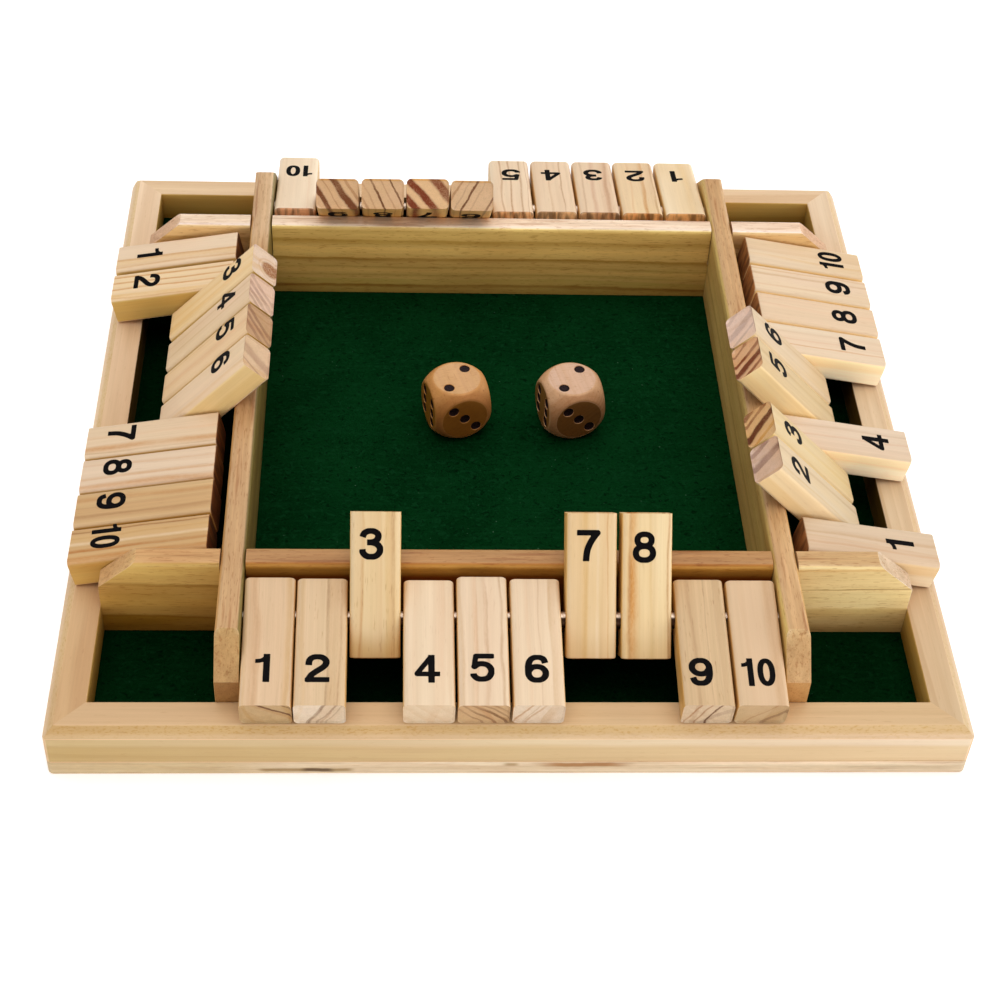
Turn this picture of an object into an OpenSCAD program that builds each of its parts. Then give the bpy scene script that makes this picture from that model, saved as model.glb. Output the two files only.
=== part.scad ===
// Four-player shut the box game.
// A square wooden tray with a raised crossing frame inside it. The crossing
// rails leave a square dice well in the middle, one channel of ten numbered
// tiles on each side and a small square compartment at each corner. The tiles
// of a side turn on one steel rod. A tile lies flat, sloping down onto the
// tray's rim, or is thrown up and over to lean on the rail.
//
// The origin is the middle of the underside. +Z is up, and -Y is the front.
// Each side is drawn once, as the front side, and turned about Z. Seen from
// outside, a side's tiles run 1 to 10 from left to right.

/* [Board] */
// Side of the square plywood board
side = 224; // [222:0.5:228]
// Thickness of the board
board_t = 4.8; // [4.4:0.1:5.2]
// Radius of the two back upright corners of the board and the rim
corner_r = 4.5; // [3:0.5:6]
// Radius of the two front upright corners
front_corner_r = 1.5; // [1:0.5:3]

/* [Rim] */
// Width of the four mitred rim rails
rim_w = 9.8; // [9:0.1:10.5]
// Height of the rim rails above the board
rim_h = 10.8; // [10.4:0.1:11]
// How far the bevel on the rim's outer top edge cuts in
bevel_in = 2.7; // [1.5:0.1:2.8]
// How far that bevel cuts down
bevel_down = 2.4; // [1.5:0.1:3]

/* [Felt] */
// Thickness of the felt sheet glued inside the rim
felt_t = 1.8; // [1:0.1:2.2]

/* [Crossing rails] */
// Thickness of the four crossing rails
rail_t = 6; // [5.8:0.1:6.4]
// Distance of each rail's middle plane from the centre of the game
rail_c = 68.7; // [68.6:0.05:68.9]
// Height of the rails' top above the ground
rail_top = 31.4; // [31.2:0.1:31.8]
// Rounding of the rails' two long top edges
rail_edge_r = 1.5; // [1:0.1:2]
// Length of the slope cut on each rail's end
end_cut_l = 9.7; // [6:0.1:12]
// Height of that slope
end_cut_h = 8.7; // [6:0.1:10]
// Side play of the half laps where the rails cross, on each side
lap_gap = 0.22; // [0.05:0.01:0.3]

/* [Rods] */
// Diameter of the steel rods that the tiles turn on
rod_d = 4; // [3.6:0.1:4.2]
// Distance of the rods from the centre of the game
rod_out = 83.75; // [83.6:0.05:83.9]
// Height of the rods' axis above the ground
rod_z = 24.6; // [24.5:0.05:24.8]
// Depth of the blind hole that holds each end of a rod
rod_seat = 4.4; // [3:0.1:5]
// Radial clearance of a rod in the rails
seat_clear = 0.04; // [0.02:0.01:0.08]

/* [Tiles] */
// Length of a tile
tile_l = 35.6; // [35:0.1:36]
// Width of a tile, along its rod
tile_w = 12.4; // [12:0.1:12.5]
// Thickness of a tile
tile_t = 8.8; // [8.6:0.1:9]
// Rounding of a tile's four long edges
tile_edge_r = 1.4; // [0.6:0.1:1.8]
// Distance of the rod hole from a tile's inner end
hole_in = 9.2; // [9:0.1:9.4]
// Radial clearance of the rod in a tile
tile_clear = 0.1; // [0.05:0.01:0.1]
// Spacing of the tiles along a rod
tile_pitch = 13.1; // [13.05:0.01:13.12]
// Gap left where a resting tile meets the rim or a rail
rest_gap = 0.05; // [0.02:0.01:0.1]

/* [Dice] */
// Side of a die
die_s = 16.5; // [15:0.5:17]
// Diameter of the ball that rounds off a die's corners
die_ball = 21.4; // [21:0.1:23]
// Diameter of a pip
pip_d = 2.9; // [2:0.1:3.2]
// Depth of a pip
pip_depth = 0.5; // [0.2:0.1:0.8]
// Distance of a pip from the middle lines of its face
pip_u = 3.3; // [3:0.1:3.6]

/* [Hidden] */
$fn = 48;

// Turn of each side about Z, from the front side
FRONT = 0;
RIGHT = 90;
BACK = 180;
LEFT = -90;

// Heights of the stack
rim_top = board_t + rim_h;
felt_top = board_t + felt_t;
rim_in = side / 2 - rim_w;
rail_out = rail_c + rail_t / 2;
rail_in = rail_c - rail_t / 2;
lap_z = (felt_top + rail_top) / 2;

// The rod hole of a tile may lie a little below the middle of its thickness,
// by "off". Tilt of a lowered tile, whose lower outer edge is on the rim:
tip = tile_l - hole_in;
function flat_tilt(off) =
    let (h = tile_t / 2 - off)
    asin((rod_z - rim_top - rest_gap) / norm([tip, h])) - atan(h / tip);

// Lean of a raised tile past the vertical: its face meets the rounded outer
// edge of the rail's top.
edge_dx = rod_out - (rail_out - rail_edge_r);
edge_dz = rail_top - rail_edge_r - rod_z;
edge_reach = norm([edge_dx, edge_dz]);
function lean(off) =
    90 - atan(edge_dz / edge_dx)
    - asin((tile_t / 2 + off + rail_edge_r + rest_gap) / edge_reach);

// The tiles are cut and drilled by hand, so each has, from 1 to 10:
// its slack along the rod
slack_front = [-0.25, -0.60, -0.80, -0.90, -1.00, -1.00, -0.55, -0.05, 0.20, 0.10];
slack_left = [0.95, 1.30, 1.45, 1.60, 1.70, 1.60, 1.25, 0.90, 0.50, 0.15];
slack_back = [0.00, 0.05, 0.00, -0.05, 0.05, 0.10, 0.00, 0.05, 0.15, 0.20];
slack_right = [0.05, 0.10, 0.00, -0.05, 0.00, 0.10, 0.05, 0.00, -0.05, 0.05];
// how far its hole lies below the middle of its thickness
off_front = [0.10, 0.00, 0.00, -0.10, 0.35, 0.00, 0.30, 0.30, 0.10, 0.00];
off_left = [0.00, 0.05, 0.10, 0.30, 0.30, 0.30, 0.05, 0.00, 0.10, 0.00];
off_back = [0.00, 0.05, 0.00, 0.10, 0.00, 0.00, 0.38, 0.15, 0.00, 0.05];
off_right = [0.05, 0.10, 0.10, 0.00, 0.15, 0.05, 0.00, 0.10, 0.00, 0.05];
// and what its inner end is longer by
more_front = [0.20, 0.00, 0.00, -0.30, 0.45, 0.10, 0.00, 0.10, 0.00, -0.10];
more_left = [0.20, -0.20, 0.00, 0.10, 0.00, -0.10, -0.20, 0.00, 0.20, 0.00];
more_back = [0.00, 0.20, -0.10, 0.10, 0.20, 0.00, 0.00, 0.20, -0.10, 0.10];
more_right = [0.00, 0.10, 0.00, 0.20, -0.10, 0.00, 0.10, -0.10, 0.10, 0.00];

// Places and turns of the dice on the felt
die_left_at = [-11.7, 7.6, 16.5];
die_right_at = [20.5, 7.9, 14.4];

// Pips of the faces, in steps of pip_u
PIPS_1 = [[0, 0]];
PIPS_2 = [[-1, -1], [1, 1]];
PIPS_3 = [[-1, 1], [0, 0], [1, -1]];
PIPS_4 = [[-1, -1], [-1, 1], [1, -1], [1, 1]];
PIPS_5 = [[-1, -1], [-1, 1], [0, 0], [1, -1], [1, 1]];
PIPS_6 = [[-1, -1], [-1, 0], [-1, 1], [1, -1], [1, 0], [1, 1]];

// A rectangle with rounded corners, about its middle
module rounded_rect(w, h, r) {
    square([w, h - 2 * r], center = true);
    square([w - 2 * r, h], center = true);
    for (x = [-1, 1], y = [-1, 1])
        translate([x * (w / 2 - r), y * (h / 2 - r)]) circle(r);
}

// The outline of the game, with its front corners sharper than the back ones
module outline() {
    f = front_corner_r;
    b = corner_r;
    translate([-side / 2, f - side / 2]) square([side, side - f - b]);
    translate([f - side / 2, -side / 2]) square([side - 2 * f, side / 2]);
    translate([b - side / 2, 0]) square([side - 2 * b, side / 2]);
    for (x = [-1, 1]) {
        translate([x * (side / 2 - f), f - side / 2]) circle(f);
        translate([x * (side / 2 - b), side / 2 - b]) circle(b);
    }
}

module base_board() {
    color([0.83, 0.70, 0.52])
    linear_extrude(board_t) outline();
}

module felt_floor() {
    color([0.07, 0.12, 0.09])
    translate([0, 0, board_t + felt_t / 2])
    cube([2 * rim_in, 2 * rim_in, felt_t], center = true);
}

// One rim rail: a bevelled strip, mitred at both ends
module rim_rail(turn) {
    color([0.80, 0.64, 0.45])
    rotate([0, 0, turn])
    intersection() {
        translate([0, 0, board_t]) rotate([0, 0, -turn]) linear_extrude(rim_h) outline();
        translate([0, 0, board_t])
        linear_extrude(rim_h)
        polygon([
            [-side / 2, -side / 2], [side / 2, -side / 2],
            [rim_in, -rim_in], [-rim_in, -rim_in]
        ]);
        rotate([90, 0, 90])
        linear_extrude(side, center = true)
        polygon([
            [-side / 2, board_t], [-rim_in, board_t], [-rim_in, rim_top],
            [-side / 2 + bevel_in, rim_top], [-side / 2, rim_top - bevel_down]
        ]);
    }
}

// The section of a crossing rail, upright, with its top edges rounded
module rail_section() {
    h = rail_top - felt_top;
    r = rail_edge_r;
    translate([-rail_t / 2, 0]) square([rail_t, h - r]);
    translate([-rail_t / 2 + r, 0]) square([rail_t - 2 * r, h]);
    for (x = [-1, 1]) translate([x * (rail_t / 2 - r), h - r]) circle(r);
}

// A crossing rail at the front. lap_low tells whether it is notched from
// below or from above, and the rods of the two sides beside it end in it.
module crossing_rail(turn, lap_low) {
    notch_w = rail_t + 2 * lap_gap;
    notch_h = rail_top - lap_z + 1;
    color([0.79, 0.62, 0.42])
    rotate([0, 0, turn])
    translate([0, -rail_c, 0])
    difference() {
        translate([0, 0, felt_top])
        rotate([90, 0, 90])
        linear_extrude(2 * rim_in, center = true)
        rail_section();
        // sloped ends
        for (m = [0, 1])
            mirror([m, 0, 0])
            rotate([90, 0, 0])
            linear_extrude(3 * rail_t, center = true)
            polygon([
                [rim_in - end_cut_l, rail_top + 0.01],
                [rim_in - end_cut_l - 1, rail_top + 1],
                [rim_in + 1, rail_top + 1],
                [rim_in + 1, rail_top - end_cut_h - end_cut_h / end_cut_l],
                [rim_in - end_cut_l, rail_top]
            ]);
        // half laps
        for (x = [-1, 1])
            translate([x * rail_c, 0, lap_low ? lap_z - notch_h / 2 - 0.01 : lap_z + notch_h / 2])
            cube([notch_w, 3 * rail_t, lap_low ? notch_h + 0.02 : notch_h], center = true);
        // blind holes for the rods, in the face towards the middle
        for (x = [-1, 1])
            translate([x * rod_out, rail_t / 2 - rod_seat, rod_z])
            rotate([-90, 0, 0])
            cylinder(h = rod_seat + 1, d = rod_d + 2 * seat_clear);
    }
}

// A rod, which ends on the floors of its two blind holes
module tile_rod(turn) {
    color([0.74, 0.74, 0.74])
    rotate([0, 0, turn])
    translate([0, -rod_out, rod_z])
    rotate([0, 90, 0])
    cylinder(h = 2 * (rail_in + rod_seat), d = rod_d, center = true);
}

// A tile about its rod hole, lying level with its free end towards -Y
module tile_body(off, more) {
    difference() {
        translate([0, hole_in + more, off])
        rotate([90, 0, 0])
        linear_extrude(tile_l + more)
        rounded_rect(tile_w, tile_t, tile_edge_r);
        rotate([0, 90, 0])
        cylinder(h = tile_w + 2, d = rod_d + 2 * tile_clear, center = true);
    }
}

// Tile number n of a side, lowered or raised
module tile(turn, n, slack, off, more, up) {
    color([0.86, 0.71, 0.50])
    rotate([0, 0, turn])
    translate([(n - 5.5) * tile_pitch + slack, -rod_out, rod_z])
    rotate([up ? -90 - lean(off) : flat_tilt(off), 0, 0])
    tile_body(off, more);
}

module front_tile(n, up) {
    tile(FRONT, n, slack_front[n - 1], off_front[n - 1], more_front[n - 1], up);
}

module left_tile(n, up) {
    tile(LEFT, n, slack_left[n - 1], off_left[n - 1], more_left[n - 1], up);
}

module back_tile(n, up) {
    tile(BACK, n, slack_back[n - 1], off_back[n - 1], more_back[n - 1], up);
}

module right_tile(n, up) {
    tile(RIGHT, n, slack_right[n - 1], off_right[n - 1], more_right[n - 1], up);
}

// The pips of one face, cut into the top of a die about its middle
module pip_set(spots) {
    for (p = spots)
        translate([p[0] * pip_u, p[1] * pip_u, die_s / 2 - pip_depth])
        cylinder(h = 2, d = pip_d, $fn = 32);
}

// A die with 2 on top, 3 at the front and 6 on the left
module die(at) {
    color([0.70, 0.40, 0.20])
    translate([at[0], at[1], felt_top + die_s / 2])
    rotate([0, 0, at[2]])
    difference() {
        intersection() {
            cube(die_s, center = true);
            sphere(d = die_ball, $fn = 96);
        }
        pip_set(PIPS_2);
        rotate([180, 0, 0]) pip_set(PIPS_5);
        rotate([90, 0, 0]) pip_set(PIPS_3);
        rotate([-90, 0, 0]) pip_set(PIPS_4);
        rotate([0, -90, 0]) rotate([0, 0, 90]) pip_set(PIPS_6);
        rotate([0, 90, 0]) pip_set(PIPS_1);
    }
}

module frame_rail_front() { rim_rail(FRONT); }
module frame_rail_back() { rim_rail(BACK); }
module frame_rail_left() { rim_rail(LEFT); }
module frame_rail_right() { rim_rail(RIGHT); }

module inner_rail_left() { crossing_rail(LEFT, true); }
module inner_rail_right() { crossing_rail(RIGHT, true); }
module inner_rail_front() { crossing_rail(FRONT, false); }
module inner_rail_back() { crossing_rail(BACK, false); }

base_board();
felt_floor();
frame_rail_front();
frame_rail_back();
frame_rail_left();
frame_rail_right();
inner_rail_left();
inner_rail_right();
inner_rail_front();
inner_rail_back();
tile_rod(FRONT);  // tile_rod_front
tile_rod(BACK);  // tile_rod_back
tile_rod(LEFT);  // tile_rod_left
tile_rod(RIGHT);  // tile_rod_right
front_tile(1, false);  // tile_front_1
front_tile(2, false);  // tile_front_2
front_tile(3, true);  // tile_front_3
front_tile(4, false);  // tile_front_4
front_tile(5, false);  // tile_front_5
front_tile(6, false);  // tile_front_6
front_tile(7, true);  // tile_front_7
front_tile(8, true);  // tile_front_8
front_tile(9, false);  // tile_front_9
front_tile(10, false);  // tile_front_10
left_tile(1, false);  // tile_left_1
left_tile(2, false);  // tile_left_2
left_tile(3, true);  // tile_left_3
left_tile(4, true);  // tile_left_4
left_tile(5, true);  // tile_left_5
left_tile(6, true);  // tile_left_6
left_tile(7, false);  // tile_left_7
left_tile(8, false);  // tile_left_8
left_tile(9, false);  // tile_left_9
left_tile(10, false);  // tile_left_10
back_tile(1, false);  // tile_back_1
back_tile(2, false);  // tile_back_2
back_tile(3, false);  // tile_back_3
back_tile(4, false);  // tile_back_4
back_tile(5, false);  // tile_back_5
back_tile(6, true);  // tile_back_6
back_tile(7, true);  // tile_back_7
back_tile(8, true);  // tile_back_8
back_tile(9, true);  // tile_back_9
back_tile(10, false);  // tile_back_10
right_tile(1, false);  // tile_right_1
right_tile(2, true);  // tile_right_2
right_tile(3, true);  // tile_right_3
right_tile(4, false);  // tile_right_4
right_tile(5, true);  // tile_right_5
right_tile(6, true);  // tile_right_6
right_tile(7, false);  // tile_right_7
right_tile(8, false);  // tile_right_8
right_tile(9, false);  // tile_right_9
right_tile(10, false);  // tile_right_10
die(die_left_at);  // die_left
die(die_right_at);  // die_right
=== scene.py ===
import bpy
import bmesh
import math
import numpy as np
from mathutils import Matrix, Vector, noise
from mathutils.geometry import delaunay_2d_cdt


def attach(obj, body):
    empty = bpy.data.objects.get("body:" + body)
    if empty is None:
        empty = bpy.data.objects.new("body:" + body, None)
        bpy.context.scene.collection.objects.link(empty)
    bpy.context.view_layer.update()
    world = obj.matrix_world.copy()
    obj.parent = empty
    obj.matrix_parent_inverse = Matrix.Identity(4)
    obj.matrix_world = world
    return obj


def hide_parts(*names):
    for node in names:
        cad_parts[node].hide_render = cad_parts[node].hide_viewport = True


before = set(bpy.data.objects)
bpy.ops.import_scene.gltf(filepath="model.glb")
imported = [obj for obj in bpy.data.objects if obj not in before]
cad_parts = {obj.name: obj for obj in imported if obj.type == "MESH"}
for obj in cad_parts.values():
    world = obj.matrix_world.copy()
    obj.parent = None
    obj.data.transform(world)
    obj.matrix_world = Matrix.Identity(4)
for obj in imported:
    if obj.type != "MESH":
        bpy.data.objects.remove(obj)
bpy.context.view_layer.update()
scene = bpy.context.scene
MM = 0.001

# ---------------------------------------------------------------- sizes (mm)
SIDE, BOARD_T, CORNER_R, FRONT_R = 224.0, 4.8, 4.5, 1.5
RIM_W, RIM_H, BEVEL_IN, BEVEL_DOWN = 9.8, 10.8, 2.7, 2.4
RIM_TOP = BOARD_T + RIM_H
RIM_IN = SIDE / 2 - RIM_W
FELT_T = 1.8
FELT_TOP = BOARD_T + FELT_T
RAIL_T, RAIL_C, RAIL_TOP, RAIL_R = 6.0, 68.7, 31.4, 1.5
END_L, END_H, LAP_GAP = 9.7, 8.7, 0.22
ROD_D, ROD_OUT, ROD_Z, ROD_SEAT, SEAT_CLEAR = 4.0, 83.75, 24.6, 4.4, 0.04
TILE_L, TILE_W, TILE_T, TILE_R = 35.6, 12.4, 8.8, 1.4
HOLE_IN, TILE_CLEAR, PITCH, REST = 9.2, 0.1, 13.1, 0.05
DIE_S, DIE_BALL, PIP_D, PIP_DEPTH, PIP_U = 16.5, 21.4, 2.9, 0.5, 3.3
LAP_Z = (FELT_TOP + RAIL_TOP) / 2

SLACK = {
    "front": [-0.25, -0.60, -0.80, -0.90, -1.00, -1.00, -0.55, -0.05, 0.20, 0.10],
    "left": [0.95, 1.30, 1.45, 1.60, 1.70, 1.60, 1.25, 0.90, 0.50, 0.15],
    "back": [0.00, 0.05, 0.00, -0.05, 0.05, 0.10, 0.00, 0.05, 0.15, 0.20],
    "right": [0.05, 0.10, 0.00, -0.05, 0.00, 0.10, 0.05, 0.00, -0.05, 0.05],
}
OFF = {
    "front": [0.10, 0.00, 0.00, -0.10, 0.35, 0.00, 0.30, 0.30, 0.10, 0.00],
    "left": [0.00, 0.05, 0.10, 0.30, 0.30, 0.30, 0.05, 0.00, 0.10, 0.00],
    "back": [0.00, 0.05, 0.00, 0.10, 0.00, 0.00, 0.38, 0.15, 0.00, 0.05],
    "right": [0.05, 0.10, 0.10, 0.00, 0.15, 0.05, 0.00, 0.10, 0.00, 0.05],
}
MORE = {
    "front": [0.20, 0.00, 0.00, -0.30, 0.45, 0.10, 0.00, 0.10, 0.00, -0.10],
    "left": [0.20, -0.20, 0.00, 0.10, 0.00, -0.10, -0.20, 0.00, 0.20, 0.00],
    "back": [0.00, 0.20, -0.10, 0.10, 0.20, 0.00, 0.00, 0.20, -0.10, 0.10],
    "right": [0.00, 0.10, 0.00, 0.20, -0.10, 0.00, 0.10, -0.10, 0.10, 0.00],
}
UP = {"front": (3, 7, 8), "left": (3, 4, 5, 6), "back": (6, 7, 8, 9), "right": (2, 3, 5, 6)}
TURN = {"front": 0.0, "right": 90.0, "back": 180.0, "left": -90.0}
SIDES = ("front", "left", "back", "right")


def flat_tilt(off):
    tip = TILE_L - HOLE_IN
    h = TILE_T / 2 - off
    return math.degrees(math.asin((ROD_Z - RIM_TOP - REST) / math.hypot(tip, h)) - math.atan(h / tip))


def lean(off):
    dx = ROD_OUT - (RAIL_C + RAIL_T / 2 - RAIL_R)
    dz = RAIL_TOP - RAIL_R - ROD_Z
    return 90 - math.degrees(math.atan(dz / dx)) - math.degrees(
        math.asin((TILE_T / 2 + off + RAIL_R + REST) / math.hypot(dx, dz)))


def place(turn=0.0, at=(0.0, 0.0, 0.0), tilt=0.0):
    return (Matrix.Rotation(math.radians(turn), 4, "Z") @ Matrix.Translation(Vector(at) * MM)
            @ Matrix.Rotation(math.radians(tilt), 4, "X"))


def srgb(r, g, b):
    f = lambda c: c / 12.92 if c <= 0.04045 else ((c + 0.055) / 1.055) ** 2.4
    return (f(r / 255), f(g / 255), f(b / 255), 1.0)


# ------------------------------------------------------------ node helpers
class Tree:
    """Short ways to add shader nodes. A value may be a socket or a number."""

    def __init__(self, tree):
        self.tree = tree

    def add(self, kind, **kw):
        n = self.tree.nodes.new(kind)
        for k, v in kw.items():
            setattr(n, k, v)
        return n

    def put(self, sock, v):
        if isinstance(v, bpy.types.NodeSocket):
            self.tree.links.new(v, sock)
        else:
            sock.default_value = v

    def m(self, op, a, b=None, c=None, clamp=False):
        n = self.add("ShaderNodeMath", operation=op, use_clamp=clamp)
        self.put(n.inputs[0], a)
        if b is not None:
            self.put(n.inputs[1], b)
        if c is not None:
            self.put(n.inputs[2], c)
        return n.outputs[0]

    def vm(self, op, a, b=None, scale=None):
        n = self.add("ShaderNodeVectorMath", operation=op)
        self.put(n.inputs[0], a)
        if b is not None:
            self.put(n.inputs[1], b)
        if scale is not None:
            self.put(n.inputs["Scale"], scale)
        return n.outputs["Value"] if op in ("LENGTH", "DOT_PRODUCT", "DISTANCE") else n.outputs[0]

    def mix(self, f, a, b, mode="MIX"):
        n = self.add("ShaderNodeMix", data_type="RGBA", blend_type=mode)
        self.put(n.inputs[0], f)
        self.put(n.inputs[6], a)
        self.put(n.inputs[7], b)
        return n.outputs[2]

    def step(self, x, lo, hi, a=0.0, b=1.0, kind="SMOOTHSTEP"):
        n = self.add("ShaderNodeMapRange", interpolation_type=kind)
        for i, v in enumerate((x, lo, hi, a, b)):
            self.put(n.inputs[i], v)
        return n.outputs[0]

    def noise(self, v, stretch=(1, 1, 1), detail=2.0, rough=0.5, color=False):
        if stretch != (1, 1, 1):
            v = self.vm("MULTIPLY", v, stretch)
        n = self.add("ShaderNodeTexNoise")
        self.put(n.inputs["Vector"], v)
        n.inputs["Scale"].default_value = 1.0
        n.inputs["Detail"].default_value = detail
        n.inputs["Roughness"].default_value = rough
        return n.outputs["Color"] if color else n.outputs["Fac"]

    def noise1(self, w, detail=1.0):
        n = self.add("ShaderNodeTexNoise", noise_dimensions="1D")
        self.put(n.inputs["W"], w)
        n.inputs["Scale"].default_value = 1.0
        n.inputs["Detail"].default_value = detail
        return n.outputs["Fac"]

    def white1(self, w):
        n = self.add("ShaderNodeTexWhiteNoise", noise_dimensions="1D")
        self.put(n.inputs["W"], w)
        return n.outputs["Value"]

    def split(self, v):
        n = self.add("ShaderNodeSeparateXYZ")
        self.put(n.inputs[0], v)
        return n.outputs[0], n.outputs[1], n.outputs[2]

    def join(self, x, y, z):
        n = self.add("ShaderNodeCombineXYZ")
        for i, v in enumerate((x, y, z)):
            self.put(n.inputs[i], v)
        return n.outputs[0]


WOOD_IN = [
    ("P", "NodeSocketVector", None), ("N", "NodeSocketVector", None),
    ("Seed", "NodeSocketFloat", 0.0), ("Pith X", "NodeSocketFloat", 30.0),
    ("Pith Y", "NodeSocketFloat", 20.0), ("Ring", "NodeSocketFloat", 3.0),
    ("Late amount", "NodeSocketFloat", 0.5), ("Warp", "NodeSocketFloat", 2.0),
    ("Taper", "NodeSocketFloat", 0.01), ("Streak", "NodeSocketFloat", 0.2),
    ("Fleck", "NodeSocketFloat", 0.3), ("Tone amount", "NodeSocketFloat", 0.5),
    ("End amount", "NodeSocketFloat", 1.0), ("Edge", "NodeSocketFloat", 0.0),
    ("Early", "NodeSocketColor", srgb(236, 208, 172)), ("Late", "NodeSocketColor", srgb(205, 155, 105)),
    ("Tone", "NodeSocketColor", srgb(226, 186, 150)), ("End", "NodeSocketColor", srgb(225, 205, 190)),
]


def wood_group():
    """Solid pine: growth rings about a pith line, fibre, flecks and drifting tone, all in space, so that every face shows the same piece of wood."""
    g = bpy.data.node_groups.new("solid_pine", "ShaderNodeTree")
    for name, kind, default in WOOD_IN:
        s = g.interface.new_socket(name=name, in_out="INPUT", socket_type=kind)
        if default is not None:
            s.default_value = default
    g.interface.new_socket(name="Color", in_out="OUTPUT", socket_type="NodeSocketColor")
    g.interface.new_socket(name="Rough", in_out="OUTPUT", socket_type="NodeSocketFloat")
    g.interface.new_socket(name="Height", in_out="OUTPUT", socket_type="NodeSocketFloat")
    t = Tree(g)
    i = t.add("NodeGroupInput").outputs
    o = t.add("NodeGroupOutput").inputs
    P, seed = i["P"], i["Seed"]
    Ps = t.vm("ADD", P, t.join(t.m("MULTIPLY", seed, 17.3), t.m("MULTIPLY", seed, 9.1), t.m("MULTIPLY", seed, 25.7)))
    # slow bends of the whole log, and the small waves of its fibre
    w1 = t.vm("SCALE", t.vm("SUBTRACT", t.noise(Ps, (0.02, 0.02, 0.009), 1.5, color=True), (0.5, 0.5, 0.5)), scale=t.m("MULTIPLY", i["Warp"], 2.0))
    w2 = t.vm("SCALE", t.vm("SUBTRACT", t.noise(Ps, (0.16, 0.16, 0.03), 2.0, color=True), (0.5, 0.5, 0.5)), scale=1.1)
    w3 = t.vm("SCALE", t.vm("SUBTRACT", t.noise(Ps, (1.4, 1.4, 0.12), 2.0, color=True), (0.5, 0.5, 0.5)), scale=0.28)
    qx, qy, qz = t.split(t.vm("ADD", t.vm("ADD", t.vm("ADD", P, w1), w2), w3))
    dx = t.m("SUBTRACT", qx, i["Pith X"])
    dy = t.m("SUBTRACT", qy, i["Pith Y"])
    r = t.m("SQRT", t.m("ADD", t.m("MULTIPLY", dx, dx), t.m("MULTIPLY", dy, dy)))
    r = t.m("MULTIPLY_ADD", qz, i["Taper"], r)
    ph = t.m("DIVIDE", r, i["Ring"])
    ph = t.m("MULTIPLY_ADD", t.noise1(t.m("MULTIPLY_ADD", r, 0.11, t.m("MULTIPLY", seed, 3.3))), 2.2, ph)
    f = t.m("FRACT", ph)
    k = t.m("FLOOR", ph)
    each = t.m("MULTIPLY_ADD", t.white1(t.m("MULTIPLY_ADD", seed, 7.7, k)), 0.8, 0.2)
    late = t.m("MULTIPLY", t.m("POWER", t.step(f, 0.15, 0.9), 1.7), t.step(f, 0.90, 1.0, 1.0, 0.0))
    late = t.m("MULTIPLY", late, each)
    nx, ny, nz = t.split(i["N"])
    end = t.step(t.m("ABSOLUTE", nz), 0.4, 0.7)
    late_here = t.m("MULTIPLY", late, t.m("MULTIPLY", i["Late amount"], t.m("MULTIPLY_ADD", end, 0.35, 1.0)), clamp=True)
    c = t.mix(late_here, i["Early"], i["Late"])
    # drift of tone, wider along the fibre
    tone = t.step(t.noise(Ps, (0.09, 0.09, 0.016), 2.5), 0.36, 0.64)
    c = t.mix(t.m("MULTIPLY", tone, i["Tone amount"]), c, i["Tone"])
    # fibre lines
    fib = t.noise(Ps, (2.6, 2.6, 0.045), 4.0, 0.62)
    band = t.noise(Ps, (0.62, 0.62, 0.011), 2.5, 0.5)
    v = t.m("ADD", t.m("MULTIPLY", t.m("SUBTRACT", fib, 0.5), 1.0), t.m("MULTIPLY", t.m("SUBTRACT", band, 0.5), 1.1))
    v = t.m("MULTIPLY_ADD", v, i["Streak"], 1.0)
    c = t.vm("MULTIPLY", c, t.join(v, t.m("POWER", v, 1.15), t.m("POWER", v, 1.45)))
    # short dark resin lines
    fl = t.step(t.noise(Ps, (2.2, 2.2, 0.24), 2.0, 0.6), 0.62, 0.74)
    fl = t.m("MULTIPLY", t.m("MULTIPLY", fl, i["Fleck"]), t.m("SUBTRACT", 1.0, end))
    c = t.mix(fl, c, t.vm("MULTIPLY", c, (0.66, 0.5, 0.36)))
    # sawn end grain: darker, with pores
    pore = t.step(t.noise(Ps, (3.4, 3.4, 0.8), 3.0, 0.6), 0.45, 0.75, 1.0, 0.86)
    ec = t.vm("MULTIPLY", t.vm("MULTIPLY", c, i["End"]), t.join(pore, pore, pore))
    c = t.mix(t.m("MULTIPLY", end, i["End amount"]), c, ec)
    # paler rounded edges: partly wear, partly a painted highlight
    soft = t.vm("ADD", t.vm("SCALE", c, scale=0.72), (0.235, 0.2, 0.15))
    c = t.mix(t.m("MULTIPLY", i["Edge"], 0.45, clamp=True), c, soft)
    g.links.new(c, o["Color"])
    h = t.m("ADD", t.m("MULTIPLY", fib, 0.8), t.m("MULTIPLY", late, 0.5))
    h = t.m("ADD", h, t.m("MULTIPLY", t.m("MULTIPLY", end, 1.6), t.noise(Ps, (1.9, 1.9, 0.6), 3.0, 0.65)))
    g.links.new(h, o["Height"])
    rough = t.m("ADD", t.m("MULTIPLY_ADD", fib, 0.16, 0.36), t.m("MULTIPLY", end, 0.22))
    g.links.new(rough, o["Rough"])
    return g


WOOD = wood_group()


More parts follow.
